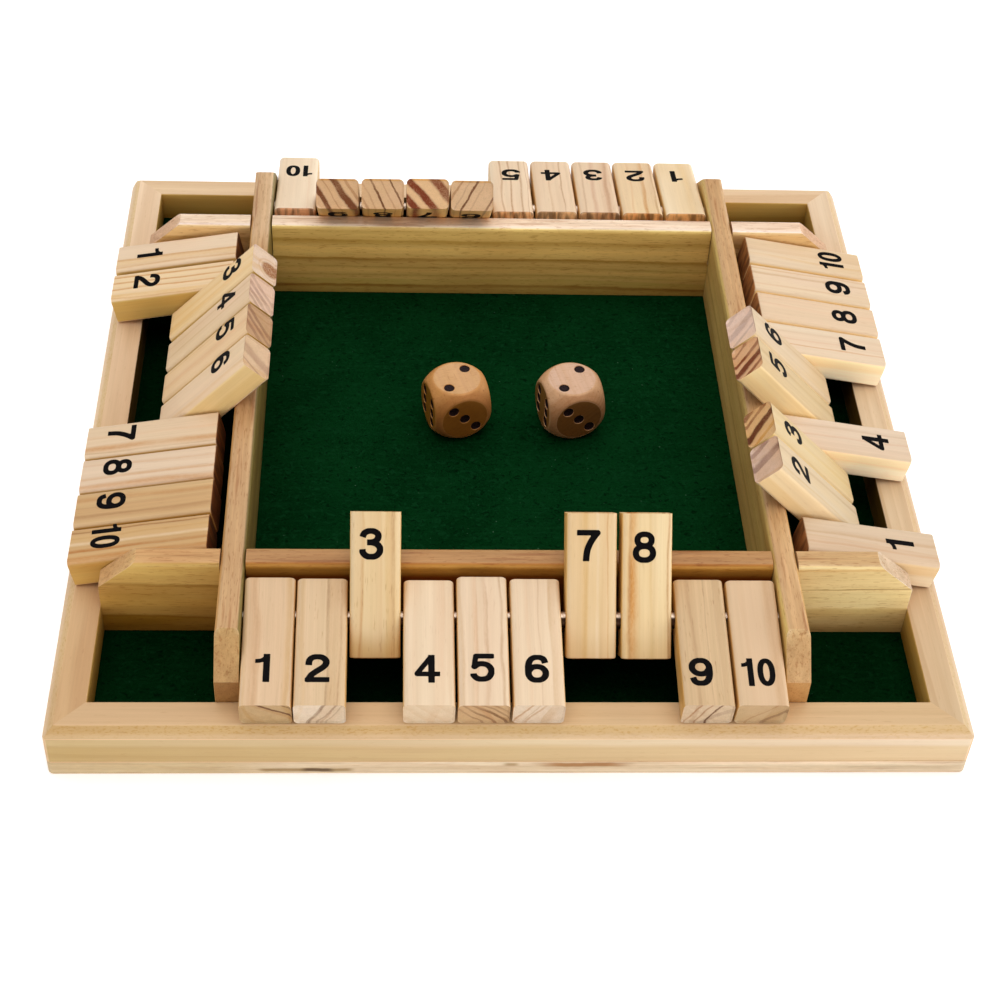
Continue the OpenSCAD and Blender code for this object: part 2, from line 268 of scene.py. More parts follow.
def wood_material(name, grain, look, edge=None, bump=0.00003, after=None):
    """A pine material. grain is the local axis along the fibre; look sets the group's inputs; edge(tree, x, y, z) gives
    the mask of the paler rounded edges, partly wear and partly a painted highlight; after(tree, color, co, no) may add
    marks.
    """
    mat = bpy.data.materials.new(name)
    mat.use_nodes = True
    t = Tree(mat.node_tree)
    mat.node_tree.nodes.clear()
    out = t.add("ShaderNodeOutputMaterial")
    bsdf = t.add("ShaderNodeBsdfPrincipled")
    mat.node_tree.links.new(bsdf.outputs[0], out.inputs[0])
    tc = t.add("ShaderNodeTexCoord")
    co = t.vm("SCALE", tc.outputs["Object"], scale=1000.0)
    x, y, z = t.split(co)
    nx, ny, nz = t.split(tc.outputs["Normal"])
    if grain == "y":
        P, N = t.join(x, z, y), t.join(nx, nz, ny)
    elif grain == "x":
        P, N = t.join(y, z, x), t.join(ny, nz, nx)
    else:
        P, N = co, tc.outputs["Normal"]
    g = t.add("ShaderNodeGroup", node_tree=WOOD)
    t.put(g.inputs["P"], P)
    t.put(g.inputs["N"], N)
    for k, v in look.items():
        g.inputs[k].default_value = v
    if edge is not None:
        t.put(g.inputs["Edge"], edge(t, x, y, z))
    color = g.outputs["Color"]
    if after is not None:
        color = after(t, color, (x, y, z), (nx, ny, nz))
    t.put(bsdf.inputs["Base Color"], color)
    t.put(bsdf.inputs["Roughness"], g.outputs["Rough"])
    bsdf.inputs["Specular IOR Level"].default_value = 0.28
    b = t.add("ShaderNodeBump")
    b.inputs["Strength"].default_value = 1.0
    b.inputs["Distance"].default_value = bump
    t.put(b.inputs["Height"], g.outputs["Height"])
    t.put(bsdf.inputs["Normal"], b.outputs[0])
    return mat


# ------------------------------------------------------------ mesh helpers
def make(name, verts, faces, mats, index=None, matrix=None, scale=MM):
    me = bpy.data.meshes.new(name)
    me.from_pydata([(v[0] * scale, v[1] * scale, v[2] * scale) for v in verts], [], faces)
    for m in mats:
        me.materials.append(m)
    if index is not None:
        me.polygons.foreach_set("material_index", index)
    bm = bmesh.new()
    bm.from_mesh(me)
    bmesh.ops.recalc_face_normals(bm, faces=bm.faces)
    bm.to_mesh(me)
    bm.free()
    ob = bpy.data.objects.new(name, me)
    scene.collection.objects.link(ob)
    if matrix is not None:
        ob.matrix_world = matrix
    return ob


def shade(ob, angle=34.0):
    me = ob.data
    me.polygons.foreach_set("use_smooth", [True] * len(me.polygons))
    me.set_sharp_from_angle(angle=math.radians(angle))
    me.update()


def loft(rings):
    """Closed rings of points, joined in order, with a cap at each end."""
    n = len(rings[0])
    verts = [p for r in rings for p in r]
    faces = []
    for j in range(len(rings) - 1):
        a, b = j * n, (j + 1) * n
        for k in range(n):
            q = (k + 1) % n
            faces.append((a + k, a + q, b + q, b + k))
    faces.append(tuple(range(n)))
    faces.append(tuple((len(rings) - 1) * n + k for k in reversed(range(n))))
    return verts, faces


def apply_modifiers(ob):
    dg = bpy.context.evaluated_depsgraph_get()
    dg.update()
    me = bpy.data.meshes.new_from_object(ob.evaluated_get(dg), preserve_all_data_layers=True, depsgraph=dg)
    old = ob.data
    ob.modifiers.clear()
    ob.data = me
    bpy.data.meshes.remove(old)
    me.name = ob.name


def boolean(ob, cutter, op="DIFFERENCE"):
    """Cuts ob with a closed cutter that is given in ob's own coordinates, and removes the cutter."""
    cutter.matrix_world = ob.matrix_world
    mod = ob.modifiers.new("cut", "BOOLEAN")
    mod.operation = op
    mod.solver = "EXACT"
    mod.object = cutter
    mod.material_mode = "TRANSFER"
    bpy.context.view_layer.update()
    apply_modifiers(ob)
    me = cutter.data
    bpy.data.objects.remove(cutter)
    bpy.data.meshes.remove(me)


def tube(x0, x1, r, n=40, axis="x", at=(0, 0, 0), mats=()):
    rings = []
    for s in (x0, x1):
        ring = []
        for k in range(n):
            a = 2 * math.pi * k / n
            c, d = r * math.cos(a), r * math.sin(a)
            p = {"x": (s, c, d), "y": (c, s, d), "z": (c, d, s)}[axis]
            ring.append((p[0] + at[0], p[1] + at[1], p[2] + at[2]))
        rings.append(ring)
    v, f = loft(rings)
    return make("cutter", v, f, list(mats))


def block(lo, hi, mats=()):
    x0, y0, z0 = lo
    x1, y1, z1 = hi
    v = [(x0, y0, z0), (x1, y0, z0), (x1, y1, z0), (x0, y1, z0), (x0, y0, z1), (x1, y0, z1), (x1, y1, z1), (x0, y1, z1)]
    f = [(0, 3, 2, 1), (4, 5, 6, 7), (0, 1, 5, 4), (1, 2, 6, 5), (2, 3, 7, 6), (3, 0, 4, 7)]
    return make("cutter", v, f, list(mats))


def rounded_section(hw, hh, r, seg=6, nx=4, nz=3):
    """A rounded rectangle about (0, 0), its flats divided."""
    pts = []
    corners = [(hw - r, hh - r, 0), (r - hw, hh - r, 90), (r - hw, r - hh, 180), (hw - r, r - hh, 270)]
    for i, (cx, cz, a0) in enumerate(corners):
        for k in range(seg + 1):
            a = math.radians(a0 + 90 * k / seg)
            pts.append((cx + r * math.cos(a), cz + r * math.sin(a)))
        nxt = corners[(i + 1) % 4]
        a = math.radians(nxt[2])
        p, q = pts[-1], (nxt[0] + r * math.cos(a), nxt[1] + r * math.sin(a))
        n = nx if i in (0, 2) else nz
        for k in range(1, n):
            s = k / n
            pts.append((p[0] + (q[0] - p[0]) * s, p[1] + (q[1] - p[1]) * s))
    return pts


# ---------------------------------------------------------------- numerals
def spline(pts, n=9):
    P = [np.array(p, float) for p in ([pts[0]] + list(pts) + [pts[-1]])]
    out = []
    for i in range(1, len(P) - 2):
        p0, p1, p2, p3 = P[i - 1:i + 3]
        for k in range(n):
            s = k / n
            out.append(0.5 * (2 * p1 + (p2 - p0) * s + (2 * p0 - 5 * p1 + 4 * p2 - p3) * s * s + (3 * p1 - p0 - 3 * p2 + p3) * s ** 3))
    out.append(P[-1])
    return np.array(out)


def ring_line(cx, cy, rx, ry, power=2.2, n=56):
    a = np.linspace(0, 2 * math.pi, n + 1)
    c, s = np.cos(a), np.sin(a)
    return np.stack([cx + rx * np.sign(c) * np.abs(c) ** (2 / power), cy + ry * np.sign(s) * np.abs(s) ** (2 / power)], 1)


SIX = [(1.95, 1.62), (1.58, 2.75), (0.85, 3.22), (0.05, 3.30), (-0.85, 3.05), (-1.55, 2.25), (-1.92, 0.9), (-1.98, -0.6), (-1.85, -1.9),
       (-1.2, -2.95), (-0.05, -3.3), (1.15, -2.98), (1.9, -2.0), (1.92, -0.75), (1.2, 0.25), (0.05, 0.6), (-1.1, 0.3), (-1.85, -0.7)]
# strokes of each numeral: (centre line, half width), drawn 8 mm high about its middle, and its half width
STROKES = {
    "1": (1.75, [([(0.85, 5), (0.85, -5)], 0.76), (spline([(-2.4, 1.95), (-0.9, 2.02), (0.0, 2.35), (0.62, 3.05), (0.86, 3.9)]), 0.56)]),
    "2": (2.78, [(spline([(-1.98, 0.85), (-1.85, 2.15), (-1.2, 3.0), (-0.05, 3.28), (1.15, 3.0), (1.9, 2.15), (1.86, 1.1), (1.15, 0.15), (-0.1, -0.85), (-1.3, -1.95), (-1.95, -3.2)]), 0.77, "a"),
                 ([(-2.2, -3.3), (4, -3.3)], 0.72)]),
    "3": (2.76, [(spline([(-2.0, 1.72), (-1.6, 2.7), (-0.6, 3.26), (0.5, 3.22), (1.45, 2.6), (1.6, 1.65), (1.05, 0.75), (0.0, 0.4), (-0.98, 0.38)]), 0.76, "ab"),
                 (spline([(0.0, 0.4), (1.2, 0.0), (1.95, -0.9), (1.95, -2.0), (1.2, -2.98), (0.0, -3.3), (-1.15, -3.05), (-1.9, -2.25), (-2.05, -1.35)]), 0.77, "b")]),
    "4": (2.95, [([(1.0, 5), (1.0, -5)], 0.74), ([(-2.2, -1.5), (4, -1.5)], 0.66), ([(0.85, 3.4), (-2.25, -1.35)], 0.62)]),
    "5": (2.76, [([(-1.35, 3.3), (2.25, 3.3)], 0.7, "b"), (spline([(-1.42, 3.3), (-1.62, 1.9), (-1.82, 0.35)]), 0.62),
                 (spline([(-1.75, 0.3), (-0.95, 0.95), (0.1, 1.1), (1.25, 0.7), (1.98, -0.35), (2.0, -1.6), (1.3, -2.85), (0.0, -3.3), (-1.2, -3.05), (-1.95, -2.2), (-2.05, -1.66)]), 0.76, "b")]),
    "6": (2.74, [(spline(SIX), 0.76, "a")]),
    "7": (2.76, [([(-4, 3.3), (2.02, 3.3)], 0.72), (spline([(2.0, 3.25), (1.1, 2.0), (0.2, 0.3), (-0.4, -1.7), (-0.68, -5.2)]), 0.76)]),
    "8": (2.76, [(ring_line(0, 1.82, 1.66, 1.48), 0.72), (ring_line(0, -1.54, 2.0, 1.78), 0.74)]),
    "9": (2.74, [(spline([(-x, -y) for x, y in SIX]), 0.76, "a")]),
    "10": (3.95, [([(-1.9, 5), (-1.9, -5)], 0.7), (spline([(-4.4, 2.05), (-3.3, 2.1), (-2.55, 2.45), (-2.05, 3.1), (-1.88, 3.9)]), 0.52),
                  (ring_line(1.86, 0, 1.42, 3.3, 2.25), 0.68)]),
}


def glyph(name, cell=0.125, high=8.0):
    """(flat points, triangles, border edges) of a numeral, as tall as `high` in mm."""
    hw, strokes = STROKES[name]
    m = 0.4
    xs = np.arange(-hw - m, hw + m + cell, cell)
    ys = np.arange(-4 - m, 4 + m + cell, cell)
    X, Y = np.meshgrid(xs, ys)
    F = np.full(X.shape, 9.0)
    for line, rad, *square in strokes:
        line = np.asarray(line, float)
        # the ends named "a" and "b" are cut off square
        cuts = []
        for end, p, q in (("a", line[0], line[1]), ("b", line[-1], line[-2])):
            if square and end in square[0]:
                u = (q - p) / max(float(np.hypot(*(q - p))), 1e-9)
                cuts.append((p, (p[0] - X) * u[0] + (p[1] - Y) * u[1]))
        for a, b in zip(line[:-1], line[1:]):
            d = b - a
            s = np.clip(((X - a[0]) * d[0] + (Y - a[1]) * d[1]) / max(float(d @ d), 1e-9), 0, 1)
            f = np.hypot(X - a[0] - s * d[0], Y - a[1] - s * d[1]) - rad
            for p, beyond in cuts:
                if np.hypot(*((a + b) / 2 - p)) < 1.6 * rad:
                    f = np.maximum(f, beyond)
            F = np.minimum(F, f)
    # flat stroke ends, with slightly soft corners
    B = np.hypot(np.maximum(np.abs(X) - hw + 0.25, 0), np.maximum(np.abs(Y) - 4 + 0.25, 0)) - 0.25
    F = np.maximum(F, B) + 1e-5
    ids, pts = {}, []

    def cut(i, j, u, v):
        key = (i, j, u, v)
        if key not in ids:
            a, b = F[j, i], F[v, u]
            s = a / (a - b)
            ids[key] = len(pts)
            pts.append((X[j, i] + (X[v, u] - X[j, i]) * s, Y[j, i] + (Y[v, u] - Y[j, i]) * s))
        return ids[key]

    segs = []
    for j in range(F.shape[0] - 1):
        row = F[j:j + 2]
        if row.min() > 0:
            continue
        for i in range(F.shape[1] - 1):
            q = [F[j, i] < 0, F[j, i + 1] < 0, F[j + 1, i + 1] < 0, F[j + 1, i] < 0]
            if all(q) or not any(q):
                continue
            e = []
            if q[0] != q[1]:
                e.append(cut(i, j, i + 1, j))
            if q[1] != q[2]:
                e.append(cut(i + 1, j, i + 1, j + 1))
            if q[2] != q[3]:
                e.append(cut(i, j + 1, i + 1, j + 1))
            if q[3] != q[0]:
                e.append(cut(i, j, i, j + 1))
            if len(e) == 4:
                segs += [(e[0], e[1]), (e[2], e[3])] if q[1] else [(e[0], e[3]), (e[1], e[2])]
            else:
                segs.append((e[0], e[1]))
    res = delaunay_2d_cdt([Vector(p) for p in pts], segs, [], 0, 1e-6)
    V, E, T, _, oe, _ = res
    fixed = {frozenset(e) for e, o in zip(E, oe) if o}
    # regions of triangles that no border line parts: each is wholly ink or wholly bare
    by_edge = {}
    for k, tri in enumerate(T):
        for a, b in zip(tri, tri[1:] + tri[:1]):
            by_edge.setdefault(frozenset((a, b)), []).append(k)
    region = [-1] * len(T)
    keep = []
    for k0 in range(len(T)):
        if region[k0] >= 0:
            continue
        stack, members = [k0], []
        region[k0] = k0
        while stack:
            k = stack.pop()
            members.append(k)
            tri = T[k]
            for a, b in zip(tri, tri[1:] + tri[:1]):
                e = frozenset((a, b))
                if e in fixed:
                    continue
                for w in by_edge[e]:
                    if region[w] < 0:
                        region[w] = k0
                        stack.append(w)
        area = lambda k: abs((V[T[k][1]] - V[T[k][0]]).cross(V[T[k][2]] - V[T[k][0]]))
        big = max(members, key=area)
        c = (V[T[big][0]] + V[T[big][1]] + V[T[big][2]]) / 3
        ii = int(round((c.x - xs[0]) / cell))
        jj = int(round((c.y - ys[0]) / cell))
        if F[min(max(jj, 0), F.shape[0] - 1), min(max(ii, 0), F.shape[1] - 1)] < 0:
            keep += members
    T = [tuple(T[k]) for k in keep]
    count = {}
    for tri in T:
        for a, b in zip(tri, tri[1:] + tri[:1]):
            count[frozenset((a, b))] = count.get(frozenset((a, b)), []) + [(a, b)]
    border = [v[0] for v in count.values() if len(v) == 1]
    s = high / 8.0
    used = sorted({a for tri in T for a in tri})
    new = {a: k for k, a in enumerate(used)}
    flat = [(V[a].x * s, V[a].y * s) for a in used]
    return flat, [tuple(new[a] for a in tri) for tri in T], [(new[a], new[b]) for a, b in border]


GLYPHS = {str(n): glyph(str(n)) for n in range(1, 11)}


# --------------------------------------------------------------- materials
def ink_material():
    mat = bpy.data.materials.new("ink")
    mat.use_nodes = True
    t = Tree(mat.node_tree)
    bsdf = mat.node_tree.nodes["Principled BSDF"]
    tc = t.add("ShaderNodeTexCoord")
    co = t.vm("SCALE", tc.outputs["Object"], scale=1000.0)
    grain = t.noise(co, (5.0, 0.35, 5.0), 3.0, 0.6)
    c = t.mix(t.step(grain, 0.5, 0.78), srgb(7, 5, 6), srgb(24, 18, 16))
    t.put(bsdf.inputs["Base Color"], c)
    t.put(bsdf.inputs["Roughness"], t.m("MULTIPLY_ADD", grain, 0.2, 0.55))
    bsdf.inputs["Specular IOR Level"].default_value = 0.06
    b = t.add("ShaderNodeBump")
    b.inputs["Distance"].default_value = 0.00002
    t.put(b.inputs["Height"], grain)
    t.put(bsdf.inputs["Normal"], b.outputs[0])
    return mat


INK = ink_material()

CREAM = srgb(236, 210, 178)
PINK = srgb(229, 192, 158)
YELLOW = srgb(238, 207, 156)
BROWN = srgb(196, 146, 100)

# colours of growth lines and bands
TAN = srgb(208, 166, 118)
GOLD = srgb(222, 180, 116)
ORANGE = srgb(208, 148, 84)
PEACH = srgb(224, 178, 136)
LINE = srgb(178, 126, 78)
DARK = srgb(128, 84, 50)
RED = srgb(128, 58, 18)
GREY = srgb(178, 148, 124)
PALE = srgb(246, 224, 194)
MAUVE = srgb(176, 140, 118)

# how each tile's wood looks. A band is a plane along the fibre that crosses the upper face at x = a and the lower face at x = b:
# (a, b, fade before it, fade after it, strength, colour)
LOOKS, BANDS = {}, {}


def look(side, n, bands=(), **kw):
    base = {
        "Seed": {"front": 0.0, "left": 20.0, "back": 40.0, "right": 60.0}[side] + n * 1.37,
        "Early": CREAM, "Late": srgb(208, 160, 112), "Tone": PINK, "End": srgb(232, 218, 206),
        "Pith X": [46.0, -54.0, 38.0, -42.0, 60.0][n % 5], "Pith Y": [-50.0, 32.0, 56.0, -36.0, -28.0][(n * 3 + len(side)) % 5],
        "Ring": 3.6 + (n * 7 % 5) * 0.55, "Late amount": 0.38, "Warp": 2.5, "Taper": 0.012 * ((n % 3) - 1),
        "Streak": 0.15, "Fleck": 0.2, "Tone amount": 0.35, "End amount": 1.0,
    }
    base.update({k.replace("_", " "): v for k, v in kw.items()})
    LOOKS[(side, n)] = base
    BANDS[(side, n)] = bands


look("front", 1, [(-2.4, 10.0, 1.6, 0.8, 0.26, ORANGE), (-2.8, 11.4, 0.25, 0.8, 0.8, DARK, 1), (5.2, 7.0, 1.6, 0.6, 0.4, GOLD), (-5.4, -3.0, 0.6, 0.8, 0.3, GOLD), (3.4, 16.0, 0.2, 0.4, 0.6, DARK, 1), (5.2, 18.0, 0.2, 0.4, 0.5, DARK, 1)], Early=srgb(224, 188, 150), Late_amount=0.22, Streak=0.2)
look("front", 2, [(1.6, -2.6, 0.4, 9.0, 0.34, TAN), (1.6, -2.6, 0.25, 0.6, 0.25, DARK), (1.4, -3.2, 0.3, 0.9, 0.45, DARK, 1), (4.9, -0.6, 0.3, 0.5, 0.32, DARK, 1), (6.6, 1.4, 0.2, 0.4, 0.25, DARK, 1), (4.6, 0.6, 0.5, 0.3, 0.3, LINE), (-4.2, -6.0, 0.8, 0.8, 0.25, GOLD)], Late_amount=0.2, Fleck=0.45, Streak=0.2, Early=srgb(224, 194, 155))
look("front", 3, [(2.2, 2.8, 0.8, 5.0, 0.3, GOLD), (-3.0, -3.4, 0.7, 0.5, 0.4, ORANGE), (4.4, 4.6, 0.8, 0.5, 0.4, LINE)], Early=srgb(229, 201, 156), Tone=GOLD, Fleck=0.5, Late_amount=0.42)
look("front", 4, [(3.4, 1.0, 2.4, 0.6, 0.25, PEACH)], Early=srgb(236, 210, 178), Late_amount=0.18, Fleck=0.25)
look("front", 5, [(-1.4, 3.0, 1.3, 0.4, 0.4, PEACH), (0.9, 12.0, 0.7, 0.3, 0.35, LINE), (4.6, 16.0, 0.5, 0.3, 0.4, LINE), (-4.5, 8.0, 0.8, 0.4, 0.35, TAN), (-5.6, 3.0, 0.3, 0.6, 0.5, DARK, 1), (-3.4, 6.2, 0.3, 0.9, 0.62, DARK, 1), (-1.2, 9.4, 0.3, 0.6, 0.5, DARK, 1), (1.2, 12.6, 0.3, 0.5, 0.45, DARK, 1), (-8.0, 0.0, 0.3, 0.5, 0.4, DARK, 1)], Late_amount=0.25)
look("front", 6, [(3.4, 1.2, 0.4, 3.0, 0.4, TAN), (-2.0, -5.0, 1.2, 0.4, 0.2, PEACH), (0.6, -3.5, 0.3, 0.3, 0.25, LINE), (-1.4, -6.4, 0.3, 0.6, 0.6, BROWN, 1), (2.0, -3.0, 0.3, 0.6, 0.5, BROWN, 1)], Early=srgb(236, 209, 176), Late_amount=0.2)
look("front", 7, [(-1.0, -1.2, 1.6, 0.9, 0.5, GOLD), (4.4, 4.2, 0.3, 0.3, 0.45, ORANGE), (1.6, 1.8, 0.7, 0.7, 0.3, PALE)], Early=srgb(235, 204, 158), Tone=GOLD, Late_amount=0.4)
look("front", 8, [(-3.0, -3.5, 1.4, 2.2, 0.80, ORANGE), (-3.6, -4.1, 0.5, 0.8, 0.35, LINE), (5.0, 5.2, 0.4, 0.6, 0.5, LINE), (1.2, 0.9, 0.6, 0.6, 0.22, GOLD)], Early=srgb(241, 215, 168), Tone=GOLD, Late_amount=0.3)
look("front", 9, [(-1.8, -5.5, 0.3, 0.5, 0.7, BROWN, 1), (0.6, -2.8, 0.3, 0.5, 0.6, BROWN, 1), (3.0, -0.2, 0.3, 0.5, 0.8, DARK, 1), (0.6, -2.8, 0.25, 0.25, 0.25, GREY), (8.0, -1.0, 0.8, 1.4, 0.45, GREY), (-2.6, -3.4, 0.8, 0.8, 0.25, LINE)],
     Early=srgb(214, 181, 138), Late=srgb(180, 140, 100), Tone=srgb(206, 170, 128), Late_amount=0.3, Streak=0.26, Fleck=0.7, End=srgb(240, 236, 232))
look("front", 10, [(3.6, 2.0, 1.5, 4.0, 0.35, TAN), (9.0, 0.4, 0.4, 1.2, 0.42, DARK, 1), (4.0, -3.6, 0.3, 0.5, 0.4, BROWN, 1)], Early=srgb(224, 191, 152), Late_amount=0.15, Streak=0.1, Fleck=0.12)

look("left", 1, [(1.4, 1.0, 0.9, 7.0, 0.5, GOLD), (1.2, 0.8, 0.5, 0.8, 0.4, ORANGE), (4.4, 4.0, 0.6, 0.8, 0.3, ORANGE)], Late_amount=0.25)
look("left", 2, [(-3.8, -4.2, 0.8, 0.4, 0.7, ORANGE), (-1.0, -1.4, 0.9, 0.4, 0.7, ORANGE), (1.8, 1.4, 0.9, 0.4, 0.75, ORANGE), (4.6, 4.4, 1.0, 2.0, 0.6, GOLD), (5.6, 5.4, 0.3, 0.4, 0.4, ORANGE)], Early=srgb(238, 208, 162), Late_amount=0.2)
look("left", 3, [(-1.0, -1.2, 1.4, 1.0, 0.4, GOLD), (1.0, 2.2, 1.2, 2.6, 0.45, GOLD)], Early=srgb(234, 200, 148), Tone=GOLD, Late_amount=0.3)
look("left", 4, [(0.5, -6.5, 0.6, 1.3, 0.5, MAUVE, 1), (3.4, -3.6, 0.6, 1.4, 0.55, MAUVE, 1), (6.3, -0.7, 0.6, 1.4, 0.55, MAUVE, 1), (9.0, 2.0, 0.6, 1.2, 0.55, MAUVE, 1), (-2.0, -2.6, 0.6, 0.4, 0.25, TAN), (1.6, 1.0, 0.3, 1.2, 0.25, TAN)],
     Late_amount=0.1, End=srgb(238, 224, 220), Early=srgb(223, 192, 151))
look("left", 5, [(2.0, -6.0, 1.2, 0.6, 0.65, MAUVE, 1), (5.0, -3.0, 1.2, 0.6, 0.6, MAUVE, 1), (8.2, 0.2, 1.2, 0.6, 0.6, MAUVE, 1), (1.5, 1.0, 1.8, 2.0, 0.35, PEACH), (-4.0, -4.4, 0.5, 0.6, 0.3, TAN)],
     Early=srgb(228, 192, 139), Late_amount=0.3, End=srgb(216, 196, 188))
look("left", 6, [(7.0, 2.0, 0.4, 0.6, 0.5, MAUVE, 1), (2.0, -3.0, 2.2, 2.2, 0.45, MAUVE, 1), (4.6, 4.2, 1.2, 1.4, 0.3, GOLD)], Early=srgb(230, 200, 160), Late_amount=0.2, End=srgb(228, 212, 204))
look("left", 7, [(3.6, 3.0, 1.6, 2.0, 0.6, ORANGE), (5.2, 5.0, 0.4, 0.4, 0.3, LINE), (-0.5, -1.0, 1.5, 0.8, 0.25, PEACH)], Late_amount=0.2, Warp=5.0, Early=srgb(227, 198, 162))
look("left", 8, [(1.8, 1.2, 1.2, 0.8, 0.5, ORANGE), (4.7, 4.2, 1.4, 1.6, 0.55, ORANGE), (-2.4, -3.0, 1.0, 0.4, 0.3, PEACH)], Late_amount=0.2, Warp=5.0, Early=srgb(227, 199, 168))
look("left", 9, [(-3.0, -4.0, 1.6, 1.6, 0.4, ORANGE), (2.6, 1.8, 1.0, 2.0, 0.3, LINE)], Early=srgb(209, 172, 122), Late=srgb(184, 130, 80), Tone=srgb(204, 156, 102), Late_amount=0.3, Streak=0.24)
look("left", 10, [(-4.8, -5.2, 0.4, 0.5, 0.7, LINE), (-2.6, -3.0, 0.8, 0.6, 0.3, GOLD), (2.2, 1.8, 1.2, 0.6, 0.75, ORANGE), (4.6, 4.2, 1.2, 2.6, 0.55, srgb(214, 152, 76)), (-0.4, -0.8, 0.9, 0.9, 0.35, PALE)], Early=srgb(208, 168, 115), Late=srgb(190, 134, 76), Tone=srgb(210, 162, 102), Late_amount=0.25, Streak=0.22)

look("back", 1, [(-2.0, -3.0, 2.0, 2.0, 0.25, GOLD)], Early=srgb(245, 220, 180), Tone=GOLD, Late_amount=0.2, End=srgb(196, 140, 104))
look("back", 2, [(-1.8, -3.5, 0.5, 1.2, 0.75, ORANGE), (-4.6, -6.3, 0.4, 0.6, 0.55, LINE), (2.4, 0.6, 0.8, 0.3, 0.4, PEACH)], Early=srgb(240, 210, 164), Late_amount=0.25, End=srgb(196, 140, 104))
look("back", 3, [(0.8, -1.5, 1.4, 1.0, 0.55, srgb(214, 172, 140)), (-3.6, -6.0, 0.8, 1.2, 0.55, srgb(200, 154, 120)), (3.9, 1.5, 0.5, 0.5, 0.3, LINE)], Early=srgb(236, 206, 172), Late_amount=0.3, End=srgb(176, 132, 106))
look("back", 4, [(-2.6, -4.6, 0.4, 0.4, 0.5, LINE), (1.6, -0.4, 1.0, 0.3, 0.35, TAN)], Early=srgb(240, 212, 178), Late_amount=0.2, End=srgb(190, 146, 118))
look("back", 5, [(3.0, 1.2, 0.5, 0.5, 0.6, LINE), (0.4, -1.4, 0.5, 0.4, 0.6, LINE), (-2.8, -4.6, 0.5, 0.5, 0.5, LINE), (-4.9, -6.7, 0.3, 0.3, 0.4, LINE)], Early=srgb(242, 217, 184), Late_amount=0.2, Warp=4.0, End=srgb(200, 150, 120))
look("back", 6, [(2.9, -1.3, 0.4, 0.45, 0.85, DARK), (-3.4, -9.5, 0.3, 0.5, 0.75, DARK), (7.5, 3.0, 0.4, 0.4, 0.5, LINE), (5.0, 0.8, 0.3, 0.3, 0.3, GREY), (0.6, -3.6, 0.3, 0.3, 0.3, GREY)], Early=srgb(214, 180, 142), Late_amount=0.15, Fleck=0.4, End=srgb(226, 206, 192))
look("back", 7, [(-2.2, 5.8, 1.5, 1.7, 1.0, RED), (-8.6, -1.2, 1.6, 1.7, 1.0, RED), (3.6, 11.9, 1.6, 1.6, 1.0, RED)], Early=srgb(238, 208, 174), Late_amount=0.05, Tone_amount=0.1, End=srgb(246, 232, 212))
look("back", 8, [(-0.9, 3.7, 0.3, 0.5, 0.85, DARK), (-6.5, -1.6, 0.3, 0.45, 0.85, DARK), (3.6, 8.4, 0.3, 0.6, 0.5, LINE), (-3.8, 1.2, 0.3, 0.3, 0.35, LINE), (1.6, 6.2, 0.3, 0.3, 0.3, LINE)], Early=srgb(216, 182, 140), Late_amount=0.12, End=srgb(232, 212, 190))
look("back", 9, [(-5.0, 1.8, 1.3, 1.3, 0.95, srgb(126, 74, 34)), (2.4, 8.6, 1.2, 0.9, 0.9, srgb(126, 74, 34)), (-1.4, 5.2, 0.3, 0.3, 0.4, LINE), (-8.0, -1.6, 0.5, 0.6, 0.5, LINE)], Early=srgb(216, 180, 136), Late_amount=0.15, End=srgb(226, 206, 186))
look("back", 10, [(-3.5, -5.0, 1.0, 0.4, 0.2, PEACH)], Early=srgb(245, 222, 194), Late_amount=0.12, End=srgb(190, 134, 108))

look("right", 1, [(0.5, -0.5, 0.8, 1.2, 0.4, TAN), (-3.2, -4.0, 0.5, 0.9, 0.4, PEACH)], Early=srgb(221, 194, 163), Late_amount=0.3, Warp=4.0)
look("right", 2, [(-1.5, 2.5, 0.8, 2.6, 0.85, srgb(150, 114, 96), 1), (4.0, 8.0, 0.6, 1.4, 0.6, srgb(168, 132, 112), 1), (-5.2, -5.0, 0.5, 0.5, 0.35, GOLD), (2.0, 2.4, 0.5, 1.2, 0.25, TAN)], Early=srgb(221, 198, 161), Tone=GOLD, Late_amount=0.2, End=srgb(208, 190, 182))
look("right", 3, [(-3.0, 4.1, 1.6, 1.2, 1.0, srgb(112, 64, 30), 1), (1.4, 8.4, 0.6, 0.8, 0.85, srgb(150, 96, 58), 1), (4.6, 11.4, 1.2, 1.2, 0.9, srgb(140, 90, 52), 1), (-7.5, -1.0, 0.4, 1.2, 0.9, GOLD, 1), (-1.6, -1.2, 0.8, 1.6, 0.4, YELLOW)], Early=srgb(224, 195, 146), Tone=GOLD, Late_amount=0.1, End=srgb(226, 206, 182))
look("right", 4, [(-1.2, -2.0, 0.4, 1.0, 0.4, PEACH), (2.6, 2.0, 1.2, 0.4, 0.25, TAN)], Early=srgb(230, 204, 175), Late_amount=0.2)
look("right", 5, [(-4.4, 1.1, 1.8, 0.9, 1.0, srgb(128, 72, 40), 1), (-0.6, 4.9, 1.4, 0.5, 1.0, srgb(146, 88, 52), 1), (3.4, 8.9, 0.6, 0.5, 0.55, srgb(150, 96, 60), 1), (-7.6, -2.4, 0.6, 0.7, 0.8, srgb(150, 96, 60), 1), (0.8, 0.9, 1.2, 1.6, 0.3, GOLD)],
     Early=srgb(220, 192, 146), Tone=GOLD, Late_amount=0.15, End=srgb(206, 178, 160))
